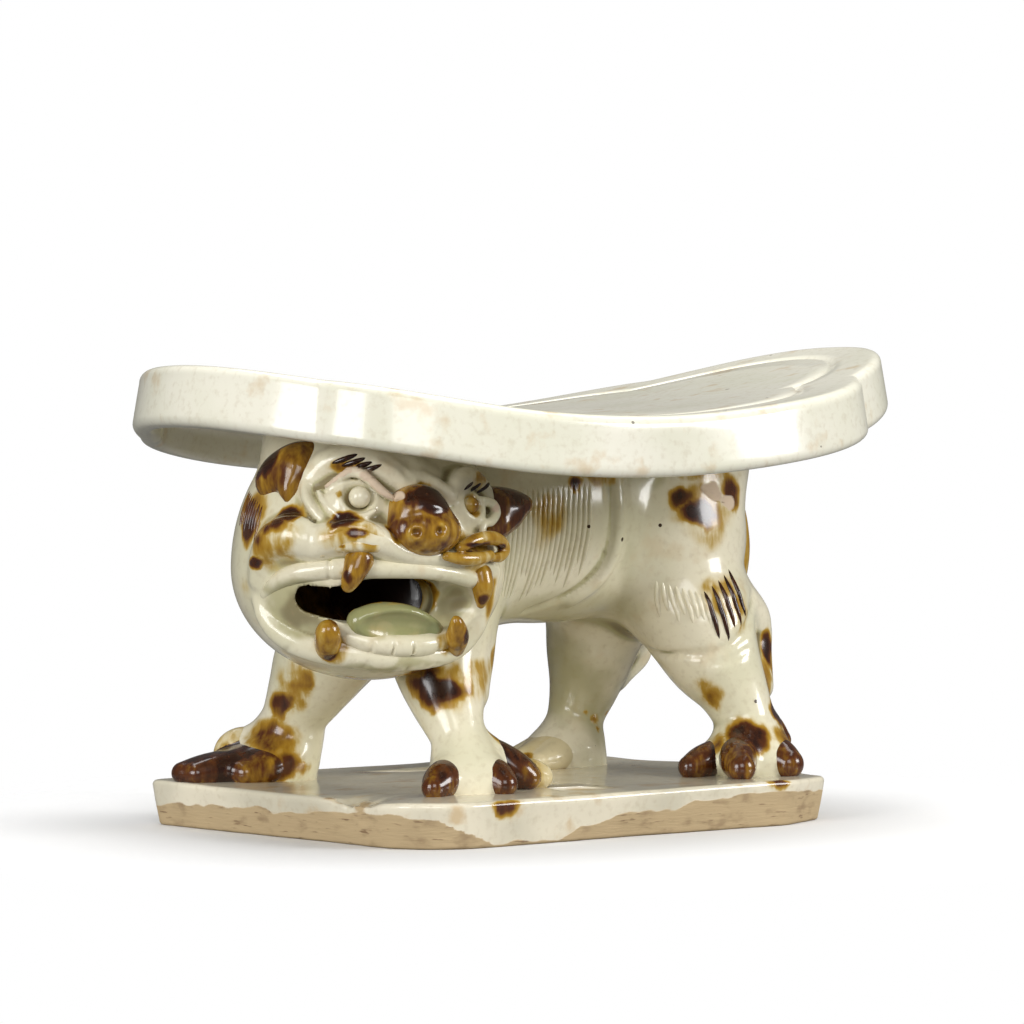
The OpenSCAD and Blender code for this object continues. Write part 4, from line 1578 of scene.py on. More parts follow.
@dataclass
class LionFace:
    """The pieces set on the head: nose, eyes, ears, whiskers, fangs, teeth and tongue."""

    head: LionHead
    shop: Workshop
    grain: float = 0.34

    def _clay(self, middle: Point, reach: float) -> ClayModel:
        """Start a small model round a place."""
        return ClayModel(tuple(v - reach for v in middle), tuple(v + reach for v in middle), self.grain)

    def build(self) -> None:
        """Model the pieces and hand them over."""
        self._nose()
        self._eyes()
        self._ears()
        self._whiskers()
        self._fangs()
        self._teeth()
        self._tongue()

    def _nose(self) -> None:
        """Broad nose with two ringed nostrils."""
        head = self.head
        clay = self._clay(head.at(-1, -28, 10), 15)
        clay.add(3.0, head.ball((-0.8, -26.6, 8.6), (8.6, 7.6, 5.8)),
                 head.ball((-1.8, -25.8, 13.6), (6.4, 6.6, 5.2)))
        for x, y, z in ((-5.4, -32.4, 8.4), (-0.2, -33.8, 8.7)):
            clay.add(0.9, Ball(head.at(x, y + 0.8, z), (1.9, 1.9, 1.9)))
            clay.cut(0.5, Ball(head.at(x - 0.5, y - 0.9, z), (1, 1.4, 1.05)))
        clay.cut(0.9, head.roll((-8.6, -30.5, 11.6, 0.5), (-4.5, -33.2, 12.6, 0.8), (1, -33.4, 12.8, 0.8),
                                (5.5, -31.2, 11.8, 0.5)))
        self.shop.model("nose", clay, Finish.IRON, ["nose"], iron=0.52)

    def _eyes(self) -> None:
        """Round eyeballs in their sockets."""
        eyes = (("right_eyeball", -13.8, 15.6, 0.9, 2.4), ("left_eyeball", 12.4, 13.8, 0.6, 1.9))
        for name, x, z, out, radius in eyes:
            clay = self._clay(self.head.face(x, z, out), 4.5)
            clay.add(0.5, Ball(self.head.face(x, z, out), (radius, radius, radius)))
            self.shop.model(name, clay, Finish.LION, [name])

    def _ears(self) -> None:
        """Leaf-shaped ears that fold forward."""
        head = self.head
        clay = self._clay(head.at(-24, -5, 20), 16)
        clay.add(2.5, head.roll((-18.8, -8.5, 25.2, 2.8), (-21.2, -7, 23.2, 4.6), (-23, -4.5, 20.8, 5.2),
                                (-24, -2.4, 19.2, 4.6)))
        clay.add(1.8, head.roll(
            (-22, -9, 21.2, 3.6), (-24, -9.2, 18.2, 2.8), (-25.2, -10.4, 15.6, 1)))
        clay.cut(0.7, head.roll(
            (-17.8, -15.4, 23.8, 1.4), (-20.6, -15.8, 19.8, 1.8), (-23.4, -15.4, 15.6, 1.4)))
        self.shop.model("right_ear", clay, Finish.IRON, ["right_ear"], iron=0.6)
        clay = self._clay(head.at(24, -15, 12), 16)
        clay.add(2.5, head.roll((19.5, -15, 14.6, 2.8), (23.5, -15, 13.6, 4.4), (27.5, -15, 13.4, 4),
                                (30.6, -15.4, 13.8, 2.4)))
        clay.add(2.0, head.roll((26, -15.5, 11, 3.6), (22, -17.5, 8.8, 3.2), (18.4, -20.6, 7.8, 1.8)))
        self.shop.model("left_ear", clay, Finish.IRON, ["left_ear"], iron=0.74)

    def _whiskers(self) -> None:
        """Curls of the moustache on the upper lip."""
        head = self.head
        clay = self._clay(head.face(12, 4, 3), 15)
        clay.add(0.3, head.face_roll(
            (6, 4.6, 2.6, 1), (8.4, 5.6, 3, 1.4), (11.4, 6.3, 3.2, 1.6), (15.4, 6.3, 3.2, 1.6),
            (18.6, 5.2, 2.8, 1.5), (19.6, 3.8, 2.6, 1.4), (17.8, 2.6, 2.6, 1.3), (15.2, 2.4, 2.8, 1)))
        clay.add(0.3, head.face_roll(
            (3, 3, 2.2, 1), (6.2, 2.4, 2.8, 1.4), (10.4, 2.4, 3, 1.5), (14, 2.9, 3, 1.2)))
        self.shop.model("left_whisker", clay, Finish.LION, ["left_whisker"], iron=0.46)
        clay = self._clay(head.face(-16, 7, 2), 15)
        clay.add(1.2, head.face_roll(
            (-21.4, 3.8, 1.6, 1), (-20.4, 6.6, 2.4, 1.7), (-17.6, 8.6, 2.8, 2.1), (-13.8, 8.4, 2.8, 2.1),
            (-10.6, 6.6, 2.4, 1.6), (-8.2, 5, 1.8, 1)))
        clay.add(1.2, head.face_roll((-20, 5.2, 2.2, 1.4), (-16, 5.6, 2.8, 1.8), (-12, 5.2, 2.6, 1.4)))
        self.shop.model("right_whisker", clay, Finish.LION, ["right_whisker"], iron=0.3)

    def _fangs(self) -> None:
        """Two fangs in each jaw."""
        fangs = {
            "upper_right_fang": ((-15.2, 2.4, 0.6, 3.2), (-16, 0.2, 1.6, 2.6), (-16.8, -1.8, 1.7, 2),
                                 (-17.1, -2.8, 1.6, 1.5)),
            "upper_left_fang": ((14.6, -1.2, 0, 2.6), (14.5, -3.6, 0.8, 2.4), (14.6, -5.8, 0.9, 1.7),
                                (14.8, -7.4, 0.8, 1)),
            "lower_right_fang": ((-17.2, -17, 0.6, 2.6), (-18, -14.6, 1.4, 2.9),
                                 (-18.7, -12.7, 1.6, 2.8), (-18.9, -12, 1.6, 2.5)),
            "lower_left_fang": ((10.8, -16.4, 0.4, 2.8), (9.6, -13.8, 1.2, 2.6), (8.4, -11.4, 1.2, 1.7),
                                (7.9, -10.4, 1, 1)),
        }
        for name, stations in fangs.items():
            roll = self.head.face_roll(*stations)
            low, high = roll.box()
            clay = self._clay(tuple((low + high) / 2), 9)
            clay.add(0.5, roll)
            self.shop.model(name, clay, Finish.IRON, [name], iron=0.56)

    def _teeth(self) -> None:
        """Bands of low teeth in both jaws, with a groove between one tooth and the next."""
        bands = {
            "upper_teeth": (((-29.4, -5.4, -1, 1.3), (-28.2, -2.2, -0.8, 2), (-26, -0.6, -0.7, 2.3),
                             (-22.5, 0.3, -0.7, 2.4), (-17, 0.8, -0.8, 2.5), (-8, 0.6, -0.9, 2.2),
                             (0, 0.1, -0.9, 2), (7, -0.9, -0.9, 2.1), (13, -2.2, -1, 2.1),
                             (18.5, -2.8, -1.3, 1.8)),
                            ((-20.4, 0.5), (2.7, 0), (12, -2))),
            "lower_teeth": (((-14.4, -15, -0.8, 1.8), (-10, -16, -0.4, 2.3), (-4, -16.6, -0.2, 2.5),
                             (2, -16.6, -0.2, 2.5), (7.6, -15.8, -0.4, 2.2)),
                            ((-9.8, -16), (-5.4, -16.5), (-0.9, -16.6), (5.2, -16.2))),
        }
        for name, (band, grooves) in bands.items():
            roll = self.head.face_roll(*band)
            clay = clay_round(roll, 3, self.grain)
            clay.add(0.5, roll)
            for x, z in grooves:
                clay.cut(0.5, self.head.face_roll(
                    (x, z + 2.3, 0, 0.25), (x, z + 1.3, 1.3, 0.3), (x, z, 1.8, 0.3),
                    (x, z - 1.3, 1.3, 0.3), (x, z - 2.3, 0, 0.25)))
            self.shop.model(name, clay, Finish.LION, [name])

    def _tongue(self) -> None:
        """Boat-shaped tongue that lies on the lower jaw."""
        head = self.head
        clay = self._clay(head.at(-3, -19, -11), 17)
        clay.add(2.0, head.roll(
            (-12.2, -19.2, -11, 3), (-7.6, -20.2, -11, 4.2), (-1.5, -20.8, -11.6, 4),
            (4, -20.4, -12.8, 2.6), (7.4, -19.6, -13.4, 1)))
        clay.cut(1.0, head.roll(
            (-11.6, -23.6, -12.4, 2.6), (-5, -25.2, -13, 4.4), (3, -24.4, -13.8, 3)))
        self.shop.model("tongue", clay, Finish.CELADON, ["tongue"])


@dataclass
class Paws:
    """Toes pinched from lumps at the foot of each leg."""

    floor: float = BASE_TOP
    bedded: float = 0.4
    grain: float = 0.4
    margin: float = 7.0
    toes: dict[Leg, Sequence[tuple[float, Stations]]] = field(default_factory=lambda: {
        Leg.LEFT_FORE: (
            (0.8, ((-38.5, -27, 15, 3.6), (-43, -30, 13.4, 4.2), (-47, -32.2, 12.2, 2.8))),
            (0.85, ((-31.5, -29, 15, 3.6), (-31, -33, 13.6, 4.3), (-30.8, -36.5, 12.4, 3))),
            (0.86, ((-28, -24, 20, 2.6), (-25.4, -26.5, 17.8, 3.6), (-22, -29, 14.8, 4),
                    (-20, -31, 13, 3))),
            (0.2, ((-21, -26.5, 14, 3), (-17, -28, 13.4, 3.5), (-14.6, -28.8, 12.8, 2.9))),
        ),
        Leg.RIGHT_FORE: (
            (0.92, ((-46, 30, 16, 5.2), (-55, 32, 13.8, 4), (-64, 33, 12.8, 3.4),
                    (-69.5, 33.2, 12.2, 2.6))),
            (0.85, ((-46, 27, 16, 5.2), (-54.5, 27.8, 13.8, 4.2), (-63, 28.8, 12.8, 3.4),
                    (-68, 29.4, 12.2, 2.4))),
            (0.72, ((-46, 25, 15, 4.6), (-52.5, 23.4, 13.2, 3.8), (-58.5, 23.6, 12.2, 2.6))),
            (0.22, ((-48, 34, 19, 3), (-52.5, 36, 18.2, 3.4), (-55.5, 36.6, 16.6, 2.6),
                    (-56, 36.6, 13, 2.4))),
        ),
        Leg.LEFT_HIND: (
            (0.8, ((43, -26, 15, 4), (35.6, -27.2, 13.4, 4), (30.6, -27.8, 12.4, 2.8))),
            (0.78, ((45, -28.5, 16.6, 4.4), (40, -34, 14.2, 4.5), (37, -38.5, 12.6, 3.4))),
            (0.82, ((50.6, -29, 16.4, 5), (51.2, -34.6, 14, 5), (51.4, -38.8, 12.8, 3.6))),
            (0.7, ((51.5, -25, 24, 2.6), (54.5, -28, 21, 3.4), (56.5, -30, 17.6, 2.8))),
        ),
        Leg.RIGHT_HIND: (
            (0, ((30, 19, 14.6, 5), (22.5, 21, 12.8, 3.6), (17.5, 22, 12, 2.4))),
            (0.1, ((28, 16, 15, 5.2), (20, 15.6, 13, 3.8), (14, 15.4, 12, 2.5))),
            (0, ((29, 13, 14.4, 4.6), (22, 10.5, 12.8, 3.6), (17, 9.6, 12, 2.4))),
        ),
    })
    blends: dict[Leg, float] = field(default_factory=lambda: {
        Leg.LEFT_FORE: 1.4, Leg.RIGHT_FORE: 3, Leg.LEFT_HIND: 1, Leg.RIGHT_HIND: 4.0})

    def pads(self, leg: Leg, stations: Stations) -> list[Roll]:
        """Clay that leads from a leg into each of its toes.

        Args:
            leg: the leg.
            stations: its roll.

        Returns:
            A roll for each toe, a little thinner than the toe.
        """
        x, y, z, radius = stations[-2]
        pads = []
        for _, toe in self.toes[leg]:
            (*root, thick), (*middle, thin) = toe[:2]
            pads.append(Roll([(x, y, z, 0.8 * radius), (*root, thick + 0.8), (*middle, 0.9 * thin)]))
        return pads

    def build(self, shop: Workshop) -> None:
        """Model the toes of each paw and hand them over.

        Args:
            shop: the workshop.
        """
        for leg, toes in self.toes.items():
            spots = np.array([station[:3] for _, toe in toes for station in toe])
            low, high = spots.min(0) - self.margin, spots.max(0) + self.margin
            clay = ClayModel(tuple(low), tuple(high), self.grain)
            for _, toe in toes:
                clay.add(self.blends[leg], Roll(toe))
            clay.cut(0.5, ground(self.floor - self.bedded))
            name = f"{leg.value}_toes"
            shop.model(name, clay, Finish.IRON, [name], toes=[(Roll(toe), iron) for iron, toe in toes])


@dataclass
class Tail:
    """Tail roll that hangs down the rump."""

    stations: Stations = ((60, -2, 77, 2.6), (63.8, -3.4, 73, 3.4), (65.4, -4, 64, 3.6),
                          (65, -3.8, 56, 3.4), (63.6, -3.4, 50.6, 2.6))
    grain: float = 0.4

    def build(self, shop: Workshop) -> None:
        """Model the tail and hand it over.

        Args:
            shop: the workshop.
        """
        roll = Roll(self.stations)
        clay = clay_round(roll, 4, self.grain)
        clay.add(0.5, roll)
        shop.model("tail", clay, Finish.IRON, ["tail"], iron=0.4)


# Combed lines


@dataclass(frozen=True)
class Comb:
    """One pass of a comb: strokes from one place to another, pressed on a surface."""

    name: str
    count: int
    first: Point
    last: Point
    stroke: Point
    approach: Point
    width: float
    sink: float
    iron: float
    finish: Finish
    seed: int


class CombStrokes:
    """Combed lines, laid on a surface by one node tree."""

    INPUTS = {"Surface": "NodeSocketObject", "Count": "NodeSocketInt", "First": "NodeSocketVector",
              "Last": "NodeSocketVector", "Stroke": "NodeSocketVector", "Approach": "NodeSocketVector",
              "Width": "NodeSocketFloat", "Sink": "NodeSocketFloat", "Seed": "NodeSocketInt",
              "Finish": "NodeSocketMaterial"}
    SHORTEST = 0.78
    LONGEST = 1.12
    STATIONS = 14
    STAND_OFF = 0.03
    SIDES = 8
    THINNEST = 0.12

    def __init__(self) -> None:
        """Build the tree once."""
        self.tree = bpy.data.node_groups.new("Comb Strokes", "GeometryNodeTree")
        face = self.tree.interface
        self.sockets = {name: face.new_socket(name, in_out="INPUT", socket_type=kind).identifier
                        for name, kind in self.INPUTS.items()}
        face.new_socket("Geometry", in_out="OUTPUT", socket_type="NodeSocketGeometry")
        nodes = NodeTree(self.tree)
        given = nodes.add("NodeGroupInput").outputs

        def vector(operation: str, inputs: dict) -> bpy.types.NodeSocket:
            """Sum or multiple of vectors."""
            return nodes.add("ShaderNodeVectorMath", inputs, operation=operation).outputs[0]

        starts = nodes.add("GeometryNodeMeshLine", {0: given["Count"], 2: given["First"], 3: given["Last"]},
                           mode="END_POINTS")
        line = nodes.add("GeometryNodeCurvePrimitiveLine", {"End": given["Stroke"]})
        line = nodes.add("GeometryNodeResampleCurve", {"Curve": line.outputs[0], "Count": self.STATIONS})
        lengths = {2: self.SHORTEST, 3: self.LONGEST, "Seed": given["Seed"]}
        size = nodes.add("FunctionNodeRandomValue", lengths, data_type="FLOAT")
        strokes = nodes.add("GeometryNodeInstanceOnPoints", {
            "Points": starts.outputs[0], "Instance": line.outputs[0], "Scale": size.outputs[1]})
        strokes = nodes.add("GeometryNodeRealizeInstances", {0: strokes.outputs[0]})
        back = vector("SCALE", {0: given["Approach"], "Scale": -self.STAND_OFF})
        source = vector("ADD", {0: nodes.add("GeometryNodeInputPosition").outputs[0], 1: back})
        surface = nodes.add("GeometryNodeObjectInfo", {"Object": given["Surface"]},
                            transform_space="RELATIVE")
        ray = nodes.add("GeometryNodeRaycast", {
            "Target Geometry": surface.outputs["Geometry"], "Source Position": source,
            "Ray Direction": given["Approach"], "Ray Length": 2 * self.STAND_OFF})
        sunk = vector("SCALE", {0: given["Approach"], "Scale": given["Sink"]})
        pressed = vector("ADD", {0: ray.outputs["Hit Position"], 1: sunk})
        laid = nodes.add("GeometryNodeSetPosition", {
            "Geometry": strokes.outputs[0], "Selection": ray.outputs["Is Hit"], "Position": pressed})
        along = nodes.add("GeometryNodeSplineParameter").outputs["Factor"]
        rise = nodes.math("MULTIPLY", along, nodes.math("SUBTRACT", 1.0, along))
        taper = nodes.math("POWER", nodes.math("MULTIPLY", rise, 4.0), 0.5)
        radius = nodes.math("MULTIPLY", nodes.math("MAXIMUM", taper, self.THINNEST), given["Width"])
        section = nodes.add("GeometryNodeCurvePrimitiveCircle", {"Resolution": self.SIDES, "Radius": 1.0})
        tubes = nodes.add("GeometryNodeCurveToMesh", {
            "Curve": laid.outputs[0], "Profile Curve": section.outputs[0], "Scale": radius,
            "Fill Caps": True})
        plain = nodes.add("GeometryNodeRealizeInstances", {0: tubes.outputs[0]})
        glazed = nodes.add("GeometryNodeSetMaterial", {
            "Geometry": plain.outputs[0], "Material": given["Finish"]})
        nodes.add("NodeGroupOutput", {0: glazed.outputs[0]})

    def lay(self, comb: Comb, surface: bpy.types.Object, shop: Workshop) -> None:
        """Lay one pass of the comb and hand it over.

        Args:
            comb: the pass.
            surface: the piece that it is pressed on.
            shop: the workshop.
        """
        carrier = placed(comb.name, bpy.data.meshes.new(comb.name))
        modifier = carrier.modifiers.new("Comb Strokes", "NODES")
        modifier.node_group = self.tree
        values = {
            "Surface": surface, "Count": comb.count, "First": Vector(comb.first) * MM,
            "Last": Vector(comb.last) * MM, "Stroke": Vector(comb.stroke) * MM,
            "Approach": Vector(comb.approach).normalized(), "Width": comb.width * MM,
            "Sink": comb.sink * MM, "Seed": comb.seed, "Finish": shop.materials[comb.finish]}
        for name, value in values.items():
            modifier[self.sockets[name]] = value
        graph = bpy.context.evaluated_depsgraph_get()
        mesh = bpy.data.meshes.new_from_object(carrier.evaluated_get(graph))
        bpy.data.objects.remove(carrier)
        mesh.shade_smooth()
        shop.dress(comb.name, mesh, comb.finish, [], iron=comb.iron)


def combs(head: LionHead) -> tuple[list[Comb], list[Comb]]:
    """The passes of the comb.

    Args:
        head: the head, which some passes are placed on.

    Returns:
        The passes on the body, and those on the head.
    """
    near = (0.0, 1.0, 0.0)
    turn = math.radians(head.turn)
    ahead = (-math.sin(turn), math.cos(turn), 0.0)
    inward = (math.cos(turn), math.sin(turn), -0.15)

    def slant(x: float, z: float) -> Point:
        """Stroke along the face."""
        return (math.cos(turn) * x, math.sin(turn) * x, z)

    body = [
        Comb("flank_flutes", 18, (-19, -30, 77), (6, -30, 79), (-0.6, 0, -24), near,
             width=0.8, sink=0.15, iron=0.0, finish=Finish.LION, seed=3),
        Comb("haunch_flutes", 8, (27, -34, 56), (35, -34, 53), (1.4, 0, -9), near,
             width=0.7, sink=0.38, iron=0.0, finish=Finish.LION, seed=4),
        Comb("haunch_stripes", 5, (35.6, -34, 53), (43.8, -34, 58), (2.2, 0, -11.5), near,
             width=0.66, sink=0.1, iron=0.85, finish=Finish.IRON, seed=5),
    ]
    face = [
        Comb("mane_lines", 9, head.at(-36, 5.0, 18.6), head.at(-36, -4.0, 15.4), (0, -0.6, -8.5), inward,
             width=0.46, sink=0.1, iron=0.62, finish=Finish.IRON, seed=6),
        Comb("right_brow_strokes", 4, head.at(-18.3, -36, 23.2), head.at(-13.0, -36, 21.4),
             slant(4.4, 1.9), ahead, width=0.62, sink=0.1, iron=0.95, finish=Finish.IRON, seed=7),
        Comb("left_brow_strokes", 3, head.at(10.6, -36, 17.4), head.at(15.4, -36, 16.6),
             slant(3.4, 2.0), ahead, width=0.5, sink=0.1, iron=0.95, finish=Finish.IRON, seed=8),
    ]
    return body, face


# Studio


def facing(at: Point, target: Point) -> Euler:
    """Turn that makes a lamp or a camera look at a target."""
    return (Vector(target) - Vector(at)).to_track_quat("-Z", "Y").to_euler()


@dataclass(frozen=True)
class Lamp:
    """Square softbox, in metres and watts."""

    name: str
    at: Point
    size: float
    power: float
    target: Point = (0.0, 0.0, 0.05)

    def place(self) -> None:
        """Hang the lamp so that it faces its target."""
        light = bpy.data.lights.new(self.name, "AREA")
        light.shape = "SQUARE"
        light.size = self.size
        light.energy = self.power
        lamp = placed(self.name, light)
        lamp.location = self.at
        lamp.rotation_euler = facing(self.at, self.target)


@dataclass
class Studio:
    """Pale floor, soft lamps, white surroundings and the camera of the photograph, in metres."""

    eye: Point = (-0.55598, -0.70754, 0.08824)
    target: Point = (0.0, 0.0, 0.0715)
    lens: float = 136.2
    sensor: float = 36.0
    clip: tuple[float, float] = (0.01, 20.0)
    surround: float = 0.14
    bounce: float = 0.36
    shade: float = 0.87
    floor_near: float = 0.1
    floor_far: float = 0.16
    floor_half: float = 1.2
    lamps: Sequence[Lamp] = (
        Lamp("Front softbox", (-0.62, -0.95, 0.5), 0.5, 3.9),
        Lamp("Left softbox", (-1.05, -0.2, 0.28), 0.5, 7.0),
        Lamp("Overhead softbox", (0.1, 0.1, 1.0), 0.9, 9.8),
        Lamp("Side strip", (0.66, -0.9, 0.4), 0.44, 9.2, (0.0, 0.0, 0.06)),
    )

    def build(self) -> None:
        """Set up the camera, the light and the floor."""
        self._camera()
        self._world()
        for lamp in self.lamps:
            lamp.place()
        self._floor()
        bpy.context.scene.view_settings.view_transform = "Standard"

    def _camera(self) -> None:
        """Place the camera where the photograph was taken."""
        camera = bpy.data.cameras.new("Camera")
        camera.lens = self.lens
        camera.sensor_width = self.sensor
        camera.clip_start, camera.clip_end = self.clip
        eye = placed("Camera", camera)
        eye.location = self.eye
        eye.rotation_euler = facing(self.eye, self.target)
        bpy.context.scene.camera = eye

    def _world(self) -> None:
        """White to the camera, softer as light."""
        world = bpy.data.worlds.new("White room")
        world.use_nodes = True
        nodes = NodeTree(world.node_tree)
        path = nodes.add("ShaderNodeLightPath").outputs
        seen = nodes.math("MAXIMUM", path["Is Camera Ray"], path["Is Transmission Ray"])
        strength = nodes.math("ADD", nodes.math("MULTIPLY", seen, 1 - self.surround), self.surround)
        light = nodes.add("ShaderNodeBackground", {"Color": (1, 1, 1, 1), "Strength": strength})
        nodes.add("ShaderNodeOutputWorld", {0: light.outputs[0]})
        bpy.context.scene.world = world

    def _floor(self) -> None:
        """Pale floor that fades into the white surroundings."""
        material = bpy.data.materials.new("Pale floor")
        material.use_nodes = True
        nodes = NodeTree(material.node_tree)
        place = nodes.add("ShaderNodeTexCoord").outputs["Object"]
        away = nodes.add("ShaderNodeVectorMath", {0: place}, operation="LENGTH").outputs["Value"]
        fade = nodes.range(away, self.floor_near, self.floor_far)
        seen = nodes.add("ShaderNodeLightPath").outputs["Is Camera Ray"]
        colour = nodes.mix(seen, (*[self.bounce] * 3, 1), (*[self.shade] * 3, 1))
        paint = nodes.add("ShaderNodeBsdfDiffuse", {"Color": colour})
        clear = nodes.add("ShaderNodeBsdfTransparent")
        mixed = nodes.add("ShaderNodeMixShader", {0: fade, 1: paint.outputs[0], 2: clear.outputs[0]})
        nodes.add("ShaderNodeOutputMaterial", {0: mixed.outputs[0]})
        mesh = bpy.data.meshes.new("floor")
        half = self.floor_half
        corners = [(-half, -half, 0), (half, -half, 0), (half, half, 0), (-half, half, 0)]
        mesh.from_pydata(corners, [], [(0, 1, 2, 3)])
        mesh.materials.append(material)
        floor = placed("floor", mesh)


# Where the paint lies


def splashes(head: LionHead) -> list[Splash]:
    """Where the maker splashed the iron glaze.

    Args:
        head: the head, which some splashes are placed on.

    Returns:
        The splashes.
    """
    face = head.face
    # Place, reach, run and strength of each
    cheek = [
        (face(-25.4, 11.4, 2), (4, 4.2, 3.4), 0.5, 1.05),
        (face(-26.8, 8.8, 3), (4, 4.2, 3.2), 1, 1.05),
        (face(-28.4, 6.2, 3), (3, 3.4, 2.6), 0.5, 0.8),
        (face(-29.8, 1.6, 2), (3, 3.6, 1.6), 0.4, 0.9),
        (face(-27.8, 6.6, 2), (7.4, 8, 7.4), 0.6, 0.5),
    ]
    muzzle = [
        (face(-17.4, 7, 4), (7.4, 6, 5.6), 0, 0.44),
        (face(-17.6, 9.6, 4), (5.6, 4.2, 2.4), 0.3, 1.05),
        (face(-16, 7.2, 5), (4, 3.4, 1.5), 0.3, 0.9),
        (face(-18, 4.6, 5), (1.4, 1.4, 0.8), 0, 0.8),
        (face(12, 4, 4), (11, 7, 5.4), 0, 0.5),
        (face(9.6, 4.2, 4), (6, 5, 1.4), 0, 1.05),
        (face(16.8, 4.3, 4), (2.6, 2.6, 1.2), 0, 1),
    ]
    nose = [
        (head.at(-1.8, -30.5, 15.4), (8.6, 6, 4.4), 0.6, 1.05),
        (head.at(4.6, -29, 11), (3.4, 5, 3), 0.6, 0.9),
        (head.at(-8, -29, 9), (2.2, 4, 3), 0.6, 0.75),
    ]
    eyes = [
        (face(-14.6, 21.6, 2), (5.6, 4, 1.8), 0, 0.5),
        (face(-17.4, 15.6, 3), (1.3, 1.3, 1.2), 0, 0.5),
        (face(12.4, 13.8, 1), (2.6, 2.6, 2.8), 0.4, 0.55),
        (face(14.6, 18.4, 2), (4, 4, 1.8), 0.4, 0.55),
    ]
    mane = [
        (head.at(-29.6, -0.5, 9.5), (4, 5, 3.6), 0.6, 0.9),
        (head.at(-28, -1.5, 13.5), (5, 6, 6), 0, 0.4),
        (head.at(-27, -5, 23), (4.6, 7, 4), 1, 1.05),
    ]
    jaw = [
        (face(19.8, -5, 0.5), (1.8, 2.6, 5), 4, 0.5),
        (face(-17.4, -15.6, 3), (2.6, 2.6, 2.4), 1, 0.95),
        (face(-17.4, -15, 2), (4.4, 4, 3.6), 1.4, 0.45),
        (face(-17, -1.4, 3), (2, 2.4, 2.4), 1, 0.9),
        (face(10.6, -12.4, 3), (2, 2.6, 2.6), 1, 1),
        (face(8.6, -14.6, 1), (4.2, 4, 3), 1, 0.5),
        (face(14.2, -5.6, 2), (2.2, 2.4, 2.4), 1, 0.9),
        (head.at(-3, -21.6, -7.6), (9, 4, 1.5), 0, 0.17),
        (face(-8, -24.4, 0.5), (14, 8, 1.1), 0, 0.3),
        (face(9, -23.4, 0.5), (8, 8, 1.6), 0, 0.6),
    ]
    forelegs = [
        ((-39, -21, 32.8), (12, 8, 3.8), 1.2, 1),
        ((-34, -21, 34), (15, 10, 6.2), 1, 0.45),
        ((-20.5, -15, 38), (4, 5, 7), 5, 0.4),
        ((-26, -25, 20.5), (2.8, 3.4, 4), 2.5, 0.75),
        ((-47.8, 17, 33), (2.8, 5, 4), 1, 0.9),
        ((-50.6, 20, 27.6), (3.2, 5, 4), 2, 0.95),
        ((-53, 22, 22), (3.4, 5, 4), 2, 0.7),
        ((-48, 18, 34), (4, 6, 7), 9, 0.42),
        ((-52, 24, 19), (7, 8, 6), 3, 0.6),
        ((-50, 19.5, 14), (6, 5, 4), 1, 0.85),
    ]
    flank = [
        ((-6, -22, 71), (6.4, 6, 5.8), 3.5, 0.26),
        ((2.2, -22, 78), (2.7, 4, 1.9), 0.5, 0.92),
        ((10, -22, 79.5), (8, 5, 1.9), 0.5, 0.34),
        ((35.6, -24, 71), (5.6, 5.4, 4), 1.6, 1.05),
        ((31.4, -23.5, 74.6), (3, 5, 3), 0.6, 0.9),
        ((36.5, -24, 73), (9.6, 6, 7.6), 4.5, 0.36),
        ((47, -23, 77), (4.2, 5, 4.2), 1.5, 0.74),
        ((40, -23, 80.5), (14, 5, 2.4), 0, 0.3),
        ((41.2, -29, 50.5), (7, 6, 7), 1, 0.4),
    ]
    hindlegs = [
        ((59, -22.5, 38.5), (3, 4, 5), 4, 0.95),
        ((55.5, -25.5, 33), (4.6, 5, 6), 3, 0.4),
        ((54.4, -30, 22.5), (4.2, 5, 6), 2, 0.95),
        ((38.4, -26.3, 30.5), (3.6, 4, 4), 3, 0.5),
        ((43.6, -33.5, 19.5), (5.4, 6, 5), 3, 0.85),
        ((52, -35.5, 17), (5, 6, 5), 1, 0.62),
        ((39, -29, 16.5), (4, 4, 3), 1, 0.6),
        ((13, 14, 12.5), (4, 5, 2), 0, 0.75),
        ((33, 10, 21.5), (1.7, 3, 1.3), 0, 0.5),
        ((34, 9.5, 19.6), (1.2, 3, 0.9), 0, 0.5),
        ((30.5, 9.5, 22.8), (1, 3, 0.9), 0, 0.45),
        ((37.5, 9.5, 22.5), (1.3, 3, 1), 0, 0.45),
    ]
    base = [
        ((-40, -48.5, 9.6), (4.2, 3.6, 1.4), 2.2, 0.8),
        ((37.7, -50.5, 10.2), (3.8, 3.2, 0.9), 1.6, 0.75),
        ((-61.6, -33, 6), (1.4, 1.2, 1.4), 1.2, 1.3),
    ]
    far_side = [
        ((38, 24, 70), (6, 5, 5), 3, 0.95),
        ((37, 24, 71), (9, 6, 8), 4, 0.38),
        ((2, 22, 74), (7, 5, 5), 3.5, 0.32),
        ((-38, 27, 48), (6, 6, 6), 4, 0.6),
        ((40, 24, 33), (4, 5, 4), 3, 0.5),
    ]
    rows = cheek + muzzle + nose + eyes + mane + jaw + forelegs + flank + hindlegs + base + far_side
    return [Splash(*row) for row in rows]


